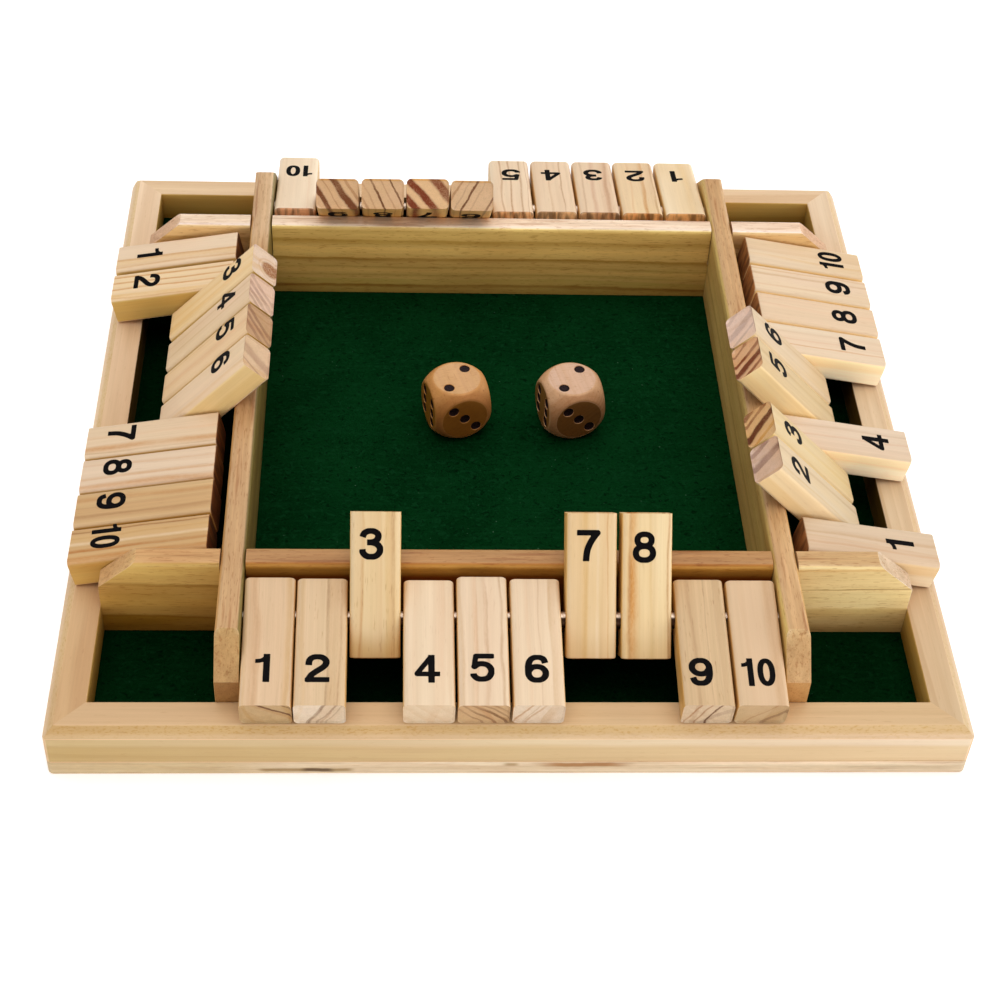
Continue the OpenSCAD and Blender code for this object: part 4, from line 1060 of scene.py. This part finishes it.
# -------------------------------------------------------------------- felt
def felt_material():
    mat = bpy.data.materials.new("green_felt")
    mat.use_nodes = True
    t = Tree(mat.node_tree)
    bsdf = mat.node_tree.nodes["Principled BSDF"]
    tc = t.add("ShaderNodeTexCoord")
    co = t.vm("SCALE", tc.outputs["Object"], scale=1000.0)
    big = t.noise(co, (0.05, 0.05, 0.05), 3.0, 0.6)
    fine = t.noise(t.vm("ADD", co, t.vm("SCALE", t.noise(co, (0.6, 0.6, 0.6), 2.0, color=True), scale=1.5)), (2.6, 2.6, 2.6), 4.0, 0.7)
    hair = t.noise(co, (0.9, 6.0, 2.0), 3.0, 0.6)
    v = t.m("ADD", t.m("MULTIPLY", fine, 0.6), t.m("ADD", t.m("MULTIPLY", hair, 0.25), t.m("MULTIPLY", big, 0.35)))
    c = t.mix(t.step(v, 0.38, 0.82), srgb(2, 33, 11), srgb(9, 57, 24))
    # matted fibres: short pale tufts, small dark pits and faint lengthwise marks
    bent = t.vm("ADD", co, t.vm("SCALE", t.noise(co, (0.35, 0.35, 0.35), 1.0, color=True), scale=3.0))
    tuft = t.step(t.noise(bent, (0.62, 0.95, 0.8), 2.0, 0.55), 0.52, 0.68)
    c = t.mix(t.m("MULTIPLY", tuft, 0.75), c, srgb(13, 58, 28))
    pit = t.step(t.noise(t.vm("ADD", bent, (31.0, 17.0, 5.0)), (0.75, 1.1, 0.9), 2.0, 0.55), 0.55, 0.70)
    c = t.mix(t.m("MULTIPLY", pit, 0.8), c, srgb(2, 24, 8))
    mark = t.step(t.noise(co, (0.10, 1.0, 0.8), 2.0, 0.5), 0.52, 0.68)
    c = t.mix(t.m("MULTIPLY", mark, 0.35), c, srgb(12, 56, 26))
    lint = t.step(t.noise(co, (1.1, 1.1, 1.1), 1.0, 0.5), 0.78, 0.83)
    c = t.mix(t.m("MULTIPLY", lint, 0.45), c, srgb(96, 130, 104))
    # painted shade: the felt outside the crossing rails darker, darkest in the strips along the rim, under the tiles
    fx, fy, _ = t.split(co)
    ax, ay = t.m("ABSOLUTE", fx), t.m("ABSOLUTE", fy)
    out_ = t.step(t.m("MAXIMUM", ax, ay), 66.0, 72.0)
    c = t.vm("SCALE", c, scale=0.92)
    c = t.mix(out_, c, t.vm("SCALE", c, scale=0.55))
    c = t.mix(t.m("MULTIPLY", out_, t.step(t.m("MINIMUM", ax, ay), 71.0, 67.0)), c, t.vm("SCALE", c, scale=0.66))
    t.put(bsdf.inputs["Base Color"], c)
    bsdf.inputs["Roughness"].default_value = 0.95
    bsdf.inputs["Specular IOR Level"].default_value = 0.0
    b = t.add("ShaderNodeBump")
    b.inputs["Distance"].default_value = 0.00012
    t.put(b.inputs["Height"], t.m("ADD", fine, t.m("MULTIPLY", hair, 0.5)))
    t.put(bsdf.inputs["Normal"], b.outputs[0])
    return mat


def felt_piece():
    n = 120
    h = RIM_IN - 0.05
    V, F = [], []
    for j in range(n + 1):
        for i in range(n + 1):
            x, y = -h + 2 * h * i / n, -h + 2 * h * j / n
            w = noise.noise(Vector((x * 0.35, y * 0.35, 3.3))) * 0.5 + noise.noise(Vector((x * 0.06, y * 0.06, 8.1)))
            edge = min(h - abs(x), h - abs(y))
            V.append((x, y, FELT_TOP - 0.03 + 0.03 * w - (0.12 if edge < 0.5 else 0.0)))
    m = n + 1
    for j in range(n):
        for i in range(n):
            a = j * m + i
            F.append((a, a + 1, a + m + 1, a + m))
    border = [i for i in range(m)] + [j * m + n for j in range(1, m)] + [n * m + i for i in range(n - 1, -1, -1)] + [j * m for j in range(n - 1, 0, -1)]
    base = len(V)
    for k in border:
        V.append((V[k][0], V[k][1], BOARD_T))
    nb = len(border)
    for k in range(nb):
        q = (k + 1) % nb
        F.append((border[k], base + k, base + q, border[q]))
    F.append(tuple(base + k for k in range(nb)))
    ob = make("felt_sheet", V, F, [felt_material()])
    shade(ob, 40)
    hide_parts("felt_floor")
    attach(ob, "tray")


felt_piece()


# ---------------------------------------------------------- crossing rails
RAIL_LOOKS = {
    "front": dict(Seed=301.1, **{"Late amount": 0.14, "Fleck": 0.25}),
    "back": dict(Seed=317.3, **{"Late amount": 0.16, "Fleck": 0.1}),
    "left": dict(Seed=331.9),
    "right": dict(Seed=347.7),
}
# tints of each crossing rail, partly painted light and shade, the side faces deeper and yellower as in shade: top,
# inner face, outer face
RAIL_TINTS = {
    "front": ((0.86, 0.76, 0.58), (0.9, 0.8, 0.5), (0.85, 0.84, 0.43)),
    "back": ((1.27, 1.53, 2.12), (1.12, 1.14, 0.61), (0.9, 0.8, 0.5)),
    "left": ((0.78, 0.72, 0.63), (0.31, 0.35, 0.17), (0.86, 0.72, 0.42)),
    "right": ((0.86, 0.81, 0.70), (0.93, 1.01, 0.61), (0.9, 0.8, 0.5)),
}
BROWNED, REDDISH = (0.72, 0.62, 0.42), (0.62, 0.42, 0.24)
# growth lines along the side faces: height of the hard edge (mm), how far it fades below and above it, strength, tint, end of the rail
RAIL_LINES = {
    "front": [(23.4, 1.0, 0.7, 1.0, (0.60, 0.50, 0.34), -1), (23.0, 30.0, 0.3, 0.9, (0.78, 0.68, 0.52), -1), (18.0, 3.0, 2.0, 0.8, (1.14, 1.16, 1.16), -1), (12.3, 30.0, 0.3, 0.9, (0.68, 0.56, 0.16), -1), (12.6, 1.0, 0.5, 0.9, BROWNED, -1),
              (29.4, 0.5, 0.9, 0.7, (0.80, 0.60, 0.36), 1), (22.6, 0.4, 0.5, 1.0, (0.58, 0.46, 0.30), 1), (20.0, 6.0, 2.0, 0.7, (1.04, 1.06, 1.02), 1), (14.5, 30.0, 1.6, 0.9, (0.84, 0.76, 0.58), 1)],
    "back": [(26.4, 2.4, 0.8, 0.9, BROWNED, 0), (23.6, 2.6, 1.2, 0.8, (1.16, 1.15, 1.16), 0), (19.9, 1.6, 0.5, 1.0, (0.66, 0.54, 0.34), 0), (19.6, 30.0, 0.4, 0.85, (0.84, 0.84, 0.80), 0), (16.6, 0.7, 0.5, 0.5, BROWNED, 0),
             (15.4, 1.8, 1.0, 0.7, (1.14, 1.12, 1.12), 0), (13.4, 0.8, 0.6, 0.4, BROWNED, 0), (9.3, 1.2, 0.7, 1.0, REDDISH, 0), (11.6, 30.0, 0.6, 0.6, (0.84, 0.90, 0.68), 0)],
    "left": [(26.0, 2.6, 0.8, 0.7, (1.5, 1.45, 1.5), 0), (20.0, 1.6, 0.8, 0.6, BROWNED, 0), (14.0, 2.4, 0.8, 0.7, (1.6, 1.45, 1.4), 0)],
    "right": [(27.0, 1.6, 0.8, 0.6, BROWNED, 0), (22.0, 3.6, 0.6, 0.6, (0.84, 0.82, 0.66), 0), (17.0, 1.6, 0.6, 0.9, BROWNED, 0), (14.4, 1.6, 0.6, 0.6, (1.14, 1.12, 1.1), 0), (11.0, 2.6, 0.5, 0.6, (0.84, 0.82, 0.66), 0)],
}
# the free ends of a rail: slope and upright end, by end
RAIL_ENDS = {
    ("front", -1): ((1.28, 1.57, 1.79), (1.1, 1.2, 1.2)), ("front", 1): ((1.33, 1.83, 3.0), (1.2, 1.4, 1.6)),
    ("left", 1): ((1.10, 1.30, 1.26), (0.55, 0.50, 0.31)), ("right", -1): ((1.22, 1.50, 1.70), (1.02, 1.06, 0.80)),
}


def rail_after(side):
    top, inner, outer = RAIL_TINTS[side]

    def paint(t, color, co, no):
        x, y, z = co
        at = t.join(t.m("ADD", x, RAIL_LOOKS[side]["Seed"]), y, z)
        up = t.step(no[2], 0.5, 0.8)
        c = t.mix(up, color, t.vm("MULTIPLY", color, top))
        c = t.mix(t.step(no[1], 0.45, 0.8), c, t.vm("MULTIPLY", c, inner))
        c = t.mix(t.step(no[1], -0.45, -0.8), c, t.vm("MULTIPLY", c, outer))
        # growth lines along the side faces
        wave = t.m("ADD", t.m("MULTIPLY", t.m("SUBTRACT", t.noise(at, (0.013, 0.05, 0.04), 1.0), 0.5), 4.0),
                   t.m("MULTIPLY", t.m("SUBTRACT", t.noise(at, (0.16, 0.5, 0.6), 3.0, 0.6), 0.5), 1.0))
        h_ = t.m("ADD", z, wave)
        along = t.step(t.noise(at, (0.03, 0.2, 0.2), 2.0), 0.3, 0.6, 0.65, 1.0)
        on_side = t.m("MULTIPLY", t.step(t.m("ABSOLUTE", no[1]), 0.4, 0.75), along)
        for z0, below, above, strength, tint, end_ in RAIL_LINES[side]:
            # a reach of 30 mm holds its tint down to the foot
            m_ = t.step(h_, z0, z0 + above, 1.0, 0.0)
            if below < 30:
                m_ = t.m("MULTIPLY", t.step(h_, z0 - below, z0), m_)
            if end_:
                m_ = t.m("MULTIPLY", m_, t.step(x, end_ * 67.5, end_ * 69.5))
            c = t.mix(t.m("MULTIPLY", t.m("MULTIPLY", m_, on_side), strength), c, t.vm("MULTIPLY", c, tint))
        # brown streaks and flecks, thicker on the top
        streak = t.step(t.noise(at, (0.045, 0.9, 0.9), 2.5, 0.55), 0.55, 0.70)
        c = t.mix(t.m("MULTIPLY", t.m("MULTIPLY", streak, up), 0.8), c, t.vm("MULTIPLY", c, (0.70, 0.53, 0.42)))
        pale = t.step(t.noise(at, (0.03, 0.7, 0.7), 2.5, 0.55), 0.52, 0.40)
        c = t.mix(t.m("MULTIPLY", pale, up), c, t.vm("MULTIPLY", c, (1.10, 1.12, 1.14)))
        fleck = t.step(t.noise(at, (0.30, 2.4, 2.4), 3.0, 0.6), 0.56, 0.66)
        c = t.mix(t.m("MULTIPLY", fleck, 0.6), c, t.vm("MULTIPLY", c, (0.66, 0.50, 0.36)))
        slow = t.step(t.noise(at, (0.035, 0.1, 0.1), 2.0), 0.35, 0.65)
        c = t.mix(t.m("MULTIPLY", slow, 0.55), c, t.vm("MULTIPLY", c, (0.84, 0.76, 0.68)))
        # darker at the foot, next to the felt
        foot = t.step(z, FELT_TOP + 4.0, FELT_TOP, 0.0, 0.5)
        c = t.mix(foot, c, t.vm("MULTIPLY", c, (0.62, 0.46, 0.30)))
        if side == "front":
            # painted shade: dark red-brown below its top edge between the crossings, partly reddish wood, with a golden
            # outer face and a darker top there; painted light and shade: one end deeper, the other paler
            mid = t.step(t.m("ABSOLUTE", x), 69.0, 67.5)
            low = t.m("MULTIPLY", t.m("MULTIPLY", mid, t.step(z, 28.6, 26.4)), t.step(no[1], -0.5, -0.8))
            c = t.mix(low, c, t.vm("MULTIPLY", c, (0.46, 0.22, 0.04)))
            gold = t.m("MULTIPLY", mid, t.step(no[1], -0.3, -0.6))
            c = t.mix(gold, c, t.vm("MULTIPLY", c, (0.96, 0.72, 0.42)))
            c = t.mix(t.m("MULTIPLY", mid, up), c, t.vm("MULTIPLY", c, (0.81, 0.76, 0.72)))
            # painted light: the right end paler
            right_ = t.step(x, 67.5, 69.5)
            face = t.step(no[1], -0.45, -0.8)
            c = t.mix(t.m("MULTIPLY", right_, face), c, t.vm("MULTIPLY", c, (1.46, 1.80, 3.2)))
            c = t.mix(t.m("MULTIPLY", right_, t.m("SUBTRACT", 1.0, face)), c, t.vm("MULTIPLY", c, (1.02, 1.12, 1.24)))
        if side == "back":
            c = t.mix(t.m("MULTIPLY", t.step(t.m("ABSOLUTE", x), 67.5, 69.5), t.step(no[1], 0.4, 0.7)), c, t.vm("MULTIPLY", c, (1.04, 1.06, 1.6)))
        for end_ in (-1, 1):
            if (side, end_) in RAIL_ENDS:
                slope, upright = RAIL_ENDS[(side, end_)]
                along_ = t.m("MULTIPLY", no[0], float(end_))
                c = t.mix(t.m("MULTIPLY", t.step(along_, 0.35, 0.55), t.step(along_, 0.85, 0.95, 1.0, 0.0)), c, t.vm("MULTIPLY", c, slope))
                c = t.mix(t.step(along_, 0.85, 0.95), c, t.vm("MULTIPLY", c, upright))
        if side == "left":
            c = t.mix(t.m("MULTIPLY", t.step(x, -52.0, -66.0), up), c, t.vm("MULTIPLY", c, (1.2, 1.34, 1.6)))
        return c
    return paint


def rail_look(side):
    base = {
        "Early": srgb(222, 182, 136), "Late": srgb(170, 116, 66), "Tone": srgb(212, 166, 122), "End": srgb(218, 196, 176),
        "Pith X": 34.0, "Pith Y": -44.0, "Ring": 6.5, "Late amount": 0.28, "Warp": 4.0, "Taper": 0.012, "Streak": 0.24,
        "Fleck": 0.4, "Tone amount": 0.5, "End amount": 0.8,
    }
    base.update(RAIL_LOOKS[side])
    return base


def rail_edge(t, x, y, z):
    ey = t.m("MAXIMUM", t.m("SUBTRACT", t.m("ABSOLUTE", y), RAIL_T / 2 - RAIL_R), 0.0)
    ez = t.m("MAXIMUM", t.m("SUBTRACT", z, RAIL_TOP - RAIL_R), 0.0)
    return t.m("MULTIPLY", ey, ez, clamp=True)


def rail_piece(side, lap_low):
    name = f"inner_rail_{side}"
    t2 = RAIL_T / 2
    sec = round_poly([(-t2, FELT_TOP), (t2, FELT_TOP), (t2, RAIL_TOP), (-t2, RAIL_TOP)], [0.15, 0.15, RAIL_R, RAIL_R], 8)
    rings = [[(x, y, z) for y, z in sec] for x in (-RIM_IN, RIM_IN)]
    v, f = loft(rings)
    mat = wood_material(name + "_pine", "x", rail_look(side), rail_edge, after=rail_after(side))
    ob = make(name + "_wood", v, f, [mat], matrix=place(TURN[side], (0, -RAIL_C, 0)))
    bm = bmesh.new()
    bm.from_mesh(ob.data)
    for s in (-1, 1):
        p = Vector((s * (RIM_IN - END_L), 0, RAIL_TOP)) * MM
        nrm = Vector((s * END_H, 0, END_L)).normalized()
        res = bmesh.ops.bisect_plane(bm, geom=bm.verts[:] + bm.edges[:] + bm.faces[:], plane_co=p, plane_no=nrm, clear_outer=True)
        edges = [e for e in res["geom_cut"] if isinstance(e, bmesh.types.BMEdge)]
        bmesh.ops.contextual_create(bm, geom=edges)
    bmesh.ops.remove_doubles(bm, verts=bm.verts[:], dist=1e-7)
    bmesh.ops.recalc_face_normals(bm, faces=bm.faces)
    bm.to_mesh(ob.data)
    bm.free()
    bev = ob.modifiers.new("soft", "BEVEL")
    bev.width = 0.00042
    bev.segments = 3
    bev.limit_method = "ANGLE"
    bev.angle_limit = math.radians(24)
    bpy.context.view_layer.update()
    apply_modifiers(ob)
    w = RAIL_T / 2 + LAP_GAP
    for s in (-1, 1):
        lo, hi = (FELT_TOP - 1, LAP_Z) if lap_low else (LAP_Z, RAIL_TOP + 1)
        boolean(ob, block((s * RAIL_C - w, -RAIL_T, lo), (s * RAIL_C + w, RAIL_T, hi), [mat]))
    for s in (-1, 1):
        boolean(ob, tube(t2 - ROD_SEAT, t2 + 1, ROD_D / 2 + SEAT_CLEAR, 32, "y", (s * ROD_OUT, 0, ROD_Z), [mat]))
    shade(ob, 30)
    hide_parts(name)
    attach(ob, "tray")
    return ob


for _s in SIDES:
    rail_piece(_s, _s in ("left", "right"))


# -------------------------------------------------------------------- rods
def steel_material(side):
    """Dull steel with a painted highlight along the back of its crown and painted shade, a dark brown, below it."""
    mat = bpy.data.materials.new("rod_steel_" + side)
    mat.use_nodes = True
    t = Tree(mat.node_tree)
    bsdf = mat.node_tree.nodes["Principled BSDF"]
    tc = t.add("ShaderNodeTexCoord")
    co = t.vm("SCALE", tc.outputs["Object"], scale=1000.0)
    x, y, z = t.split(co)
    turn = t.noise(co, (2.5, 2.5, 2.5), 3.0, 0.6)
    fine = t.noise(co, (9.0, 9.0, 9.0), 2.0, 0.5)
    # painted highlight on the crown; below it painted shade
    crown = t.step(z, ROD_Z + 0.9, ROD_Z + 1.4)
    if side == "front":
        crown = t.m("MULTIPLY", crown, t.step(y, -1.1 - ROD_OUT, -0.5 - ROD_OUT))
    bright = t.mix(t.step(turn, 0.35, 0.7), srgb(255, 236, 216), srgb(214, 190, 166))
    t.put(bsdf.inputs["Base Color"], t.mix(crown, srgb(66, 46, 34), bright))
    bsdf.inputs["Metallic"].default_value = 1.0
    t.put(bsdf.inputs["Roughness"], t.m("MULTIPLY_ADD", fine, 0.22, 0.34))
    b = t.add("ShaderNodeBump")
    b.inputs["Distance"].default_value = 0.00001
    t.put(b.inputs["Height"], fine)
    t.put(bsdf.inputs["Normal"], b.outputs[0])
    return mat


for _s in SIDES:
    _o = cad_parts[f"tile_rod_{_s}"]
    _o.data.materials.clear()
    _o.data.materials.append(steel_material(_s))


# -------------------------------------------------------------------- dice
def die_materials(seed, pale, deep, dark, name):
    """Beech-like, a little paler on the square flats, deeper on the rounded corners and brown on the end grain, with
    painted shade on the upright sides.
    """
    def zone(t, color, co, no):
        x, y, z = co
        n = t.m("MAXIMUM", t.m("MAXIMUM", t.m("ABSOLUTE", no[0]), t.m("ABSOLUTE", no[1])), t.m("ABSOLUTE", no[2]))
        wob = t.m("MULTIPLY", t.m("SUBTRACT", t.noise(t.join(x, y, z), (0.5, 0.5, 0.5), 2.0), 0.5), 0.02)
        ball = t.step(t.m("ADD", n, wob), 0.995, 0.97)
        c = t.mix(ball, color, t.vm("MULTIPLY", color, deep))
        # a bright line round each flat
        line = t.m("MULTIPLY", t.step(n, 0.955, 0.972), t.step(n, 0.978, 0.992, 1.0, 0.0))
        c = t.mix(t.m("MULTIPLY", line, 0.35), c, pale)
        # painted shade: the upright sides darker and browner
        low = t.step(t.m("ABSOLUTE", no[2]), 0.75, 0.15)
        c = t.mix(low, c, t.vm("MULTIPLY", c, t.mix(ball, dark + (1,), tuple(0.55 + 0.45 * u for u in dark) + (1,))))
        fine = t.step(t.noise(t.join(x, y, z), (0.5, 3.0, 2.2), 2.0, 0.6), 0.52, 0.68)
        c = t.mix(t.m("MULTIPLY", fine, 0.35), c, t.vm("MULTIPLY", c, (0.74, 0.6, 0.45)))
        speck = t.step(t.noise(t.join(x, y, z), (0.55, 0.25, 0.55), 2.0, 0.5), 0.68, 0.74)
        return t.mix(t.m("MULTIPLY", speck, 0.6), c, t.vm("MULTIPLY", c, (0.6, 0.42, 0.3)))

    look_ = {
        "Seed": seed, "Early": pale, "Late": srgb(190, 136, 88), "Tone": srgb(222, 172, 128), "End": srgb(214, 190, 168),
        "Pith X": 24.0, "Pith Y": -30.0, "Ring": 1.25, "Late amount": 0.35, "Warp": 1.6, "Taper": 0.0, "Streak": 0.16,
        "Fleck": 0.45, "Tone amount": 0.45, "End amount": 0.6,
    }
    wood = wood_material(name + "_pine", "y", look_, after=zone)
    pip = bpy.data.materials.new(name + "_pip")
    pip.use_nodes = True
    t = Tree(pip.node_tree)
    bsdf = pip.node_tree.nodes["Principled BSDF"]
    tc = t.add("ShaderNodeTexCoord")
    co = t.vm("SCALE", tc.outputs["Object"], scale=1000.0)
    g = t.noise(co, (3.0, 3.0, 3.0), 3.0, 0.6)
    t.put(bsdf.inputs["Base Color"], t.mix(t.step(g, 0.4, 0.7), srgb(18, 8, 10), srgb(52, 30, 32)))
    t.put(bsdf.inputs["Roughness"], t.m("MULTIPLY_ADD", g, 0.25, 0.45))
    bsdf.inputs["Specular IOR Level"].default_value = 0.12
    return wood, pip


PIPS = {1: [(0, 0)], 2: [(-1, -1), (1, 1)], 3: [(-1, 1), (0, 0), (1, -1)], 4: [(-1, -1), (-1, 1), (1, -1), (1, 1)],
        5: [(-1, -1), (-1, 1), (0, 0), (1, -1), (1, 1)], 6: [(-1, -1), (-1, 0), (-1, 1), (1, -1), (1, 0), (1, 1)]}
# the turn that carries each number's pips from the top of the die to its face
R = lambda a, ax: Matrix.Rotation(math.radians(a), 4, ax)
FACES = {2: Matrix.Identity(4), 5: R(180, "X"), 3: R(90, "X"), 4: R(-90, "X"), 6: R(-90, "Y") @ R(90, "Z"), 1: R(90, "Y")}


def die_piece(name, at, seed, pale, deep, dark):
    s, rad, k = DIE_S / 2, DIE_BALL / 2, 0.35
    bm = bmesh.new()
    bmesh.ops.create_cube(bm, size=2.0)
    bmesh.ops.subdivide_edges(bm, edges=bm.edges[:], cuts=41, use_grid_fill=True)
    for v in bm.verts:
        # even steps over each face, then out to the smaller of the cube and the ball, softly joined
        d = Vector([math.tan(c * math.pi / 4) for c in v.co])
        d.normalize()
        rc = s / max(abs(c) for c in d)
        e = max(k - abs(rc - rad), 0.0) / k
        v.co = d * (min(rc, rad) - e * e * k * 0.25) * MM
    me = bpy.data.meshes.new(name + "_wood")
    bm.to_mesh(me)
    bm.free()
    wood, pip = die_materials(seed, pale, deep, dark, name)
    me.materials.append(wood)
    me.materials.append(pip)
    ob = bpy.data.objects.new(name + "_wood", me)
    scene.collection.objects.link(ob)
    ob.matrix_world = place(0, (0, 0, 0)) @ Matrix.Translation(Vector((at[0], at[1], FELT_TOP + s)) * MM) @ R(at[2], "Z")
    n = 32
    V, F, I = [], [], []
    for number, turn in FACES.items():
        for u, w in PIPS[number]:
            prof = [(PIP_D / 2 + 0.2, s + 0.3), (PIP_D / 2 + 0.14, s + 0.0), (PIP_D / 2, s - 0.14), (PIP_D / 2 - 0.12, s - 0.3), (PIP_D / 2 - 0.5, s - 0.42), (PIP_D / 2 - 1.0, s - 0.49)]
            rings = [[tuple(turn @ Vector((u * PIP_U + r * math.cos(2 * math.pi * q / n), w * PIP_U + r * math.sin(2 * math.pi * q / n), z))) for q in range(n)] for r, z in prof]
            v, f = loft(rings)
            base = len(V)
            V += v
            F += [tuple(base + a for a in fc) for fc in f]
            I += [0] * (2 * n) + [1] * (n * (len(prof) - 3)) + [0, 1]
    boolean(ob, make("cutter", V, F, [wood, pip], index=I))
    shade(ob, 28)
    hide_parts(name)
    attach(ob, name)
    return ob


die_piece("die_left", (-11.7, 7.6, 16.5), 401.3, srgb(205, 156, 97), (0.95, 0.80, 0.56), (0.50, 0.37, 0.08))
die_piece("die_right", (20.5, 7.9, 14.4), 417.9, srgb(216, 178, 152), (0.96, 0.88, 0.70), (0.32, 0.23, 0.07))


# ------------------------------------------------------------------- stage
def floor_piece():
    me = bpy.data.meshes.new("floor")
    s = 6.0
    me.from_pydata([(-s, -s, 0), (s, -s, 0), (s, s, 0), (-s, s, 0)], [], [(0, 1, 2, 3)])
    ob = bpy.data.objects.new("floor", me)
    scene.collection.objects.link(ob)
    mat = bpy.data.materials.new("floor_white")
    mat.use_nodes = True
    b = mat.node_tree.nodes["Principled BSDF"]
    b.inputs["Base Color"].default_value = (0.93, 0.93, 0.93, 1)
    b.inputs["Roughness"].default_value = 0.9
    b.inputs["Specular IOR Level"].default_value = 0.1
    b.inputs["Emission Color"].default_value = (1, 1, 1, 1)
    b.inputs["Emission Strength"].default_value = 0.32
    me.materials.append(mat)


floor_piece()

world = bpy.data.worlds.new("studio")
scene.world = world
world.use_nodes = True
# a studio tent: a bright ceiling panel, and soft patches round the walls: (direction, from and to what height, strength)
PATCHES = [((0, -1), None, 0.22, 3.0), ((1, 0), None, 0.22, 3.6), ((0, -1), 0.22, 0.5, 0.5), ((1, 0), 0.22, 0.5, 1.65), ((-1, 0), 0.22, 0.5, 1.15),
           ((0, -1), 0.5, 0.82, 0.3), ((-1, 0), 0.5, 0.82, 0.2), ((0, 1), 0.5, 0.82, 1.56)]
wt = Tree(world.node_tree)
sky = world.node_tree.nodes["Background"]
sky.inputs[0].default_value = (1.0, 1.0, 1.0, 1)
wx, wy, wz = wt.split(wt.add("ShaderNodeTexCoord").outputs["Generated"])
flat_ = wt.m("SQRT", wt.m("MAXIMUM", wt.m("SUBTRACT", 1.0, wt.m("MULTIPLY", wz, wz)), 0.0001))
glow = wt.m("MULTIPLY", wt.step(wz, 0.76, 0.88), 1.78)
for (px, py), lo_, hi_, power_ in PATCHES:
    toward = wt.m("MAXIMUM", wt.m("DIVIDE", wt.m("ADD", wt.m("MULTIPLY", wx, float(px)), wt.m("MULTIPLY", wy, float(py))), flat_), 0.0)
    patch = wt.m("MULTIPLY", wt.m("MULTIPLY", toward, toward), wt.step(wz, hi_ - 0.05, hi_ + 0.05, 1.0, 0.0))
    if lo_ is not None:
        patch = wt.m("MULTIPLY", patch, wt.step(wz, lo_ - 0.05, lo_ + 0.05))
    glow = wt.m("MULTIPLY_ADD", patch, power_, glow)
wt.put(sky.inputs[1], glow)

# ------------------------------------------------------------------ camera
cam = bpy.data.cameras.new("camera")
cam.sensor_width = 36.0
cam.lens = 70.0945
cam.clip_start = 0.01
camera = bpy.data.objects.new("camera", cam)
scene.collection.objects.link(camera)
yaw, pitch, roll = 0.07904921794045013, 0.7800253419949488, 0.061691262912149984
fwd = Vector((math.sin(yaw) * math.cos(pitch), math.cos(yaw) * math.cos(pitch), -math.sin(pitch)))
right = Vector((math.cos(yaw), -math.sin(yaw), 0))
upv = right.cross(fwd)
r_ = right * math.cos(roll) + upv * math.sin(roll)
u_ = -right * math.sin(roll) + upv * math.cos(roll)
camera.matrix_world = Matrix.Translation(Vector((-0.0299951, -0.4015315, 0.3813330))) @ Matrix((
    (r_.x, u_.x, -fwd.x, 0), (r_.y, u_.y, -fwd.y, 0), (r_.z, u_.z, -fwd.z, 0), (0, 0, 0, 1)))
scene.camera = camera
scene.view_settings.view_transform = "Standard"
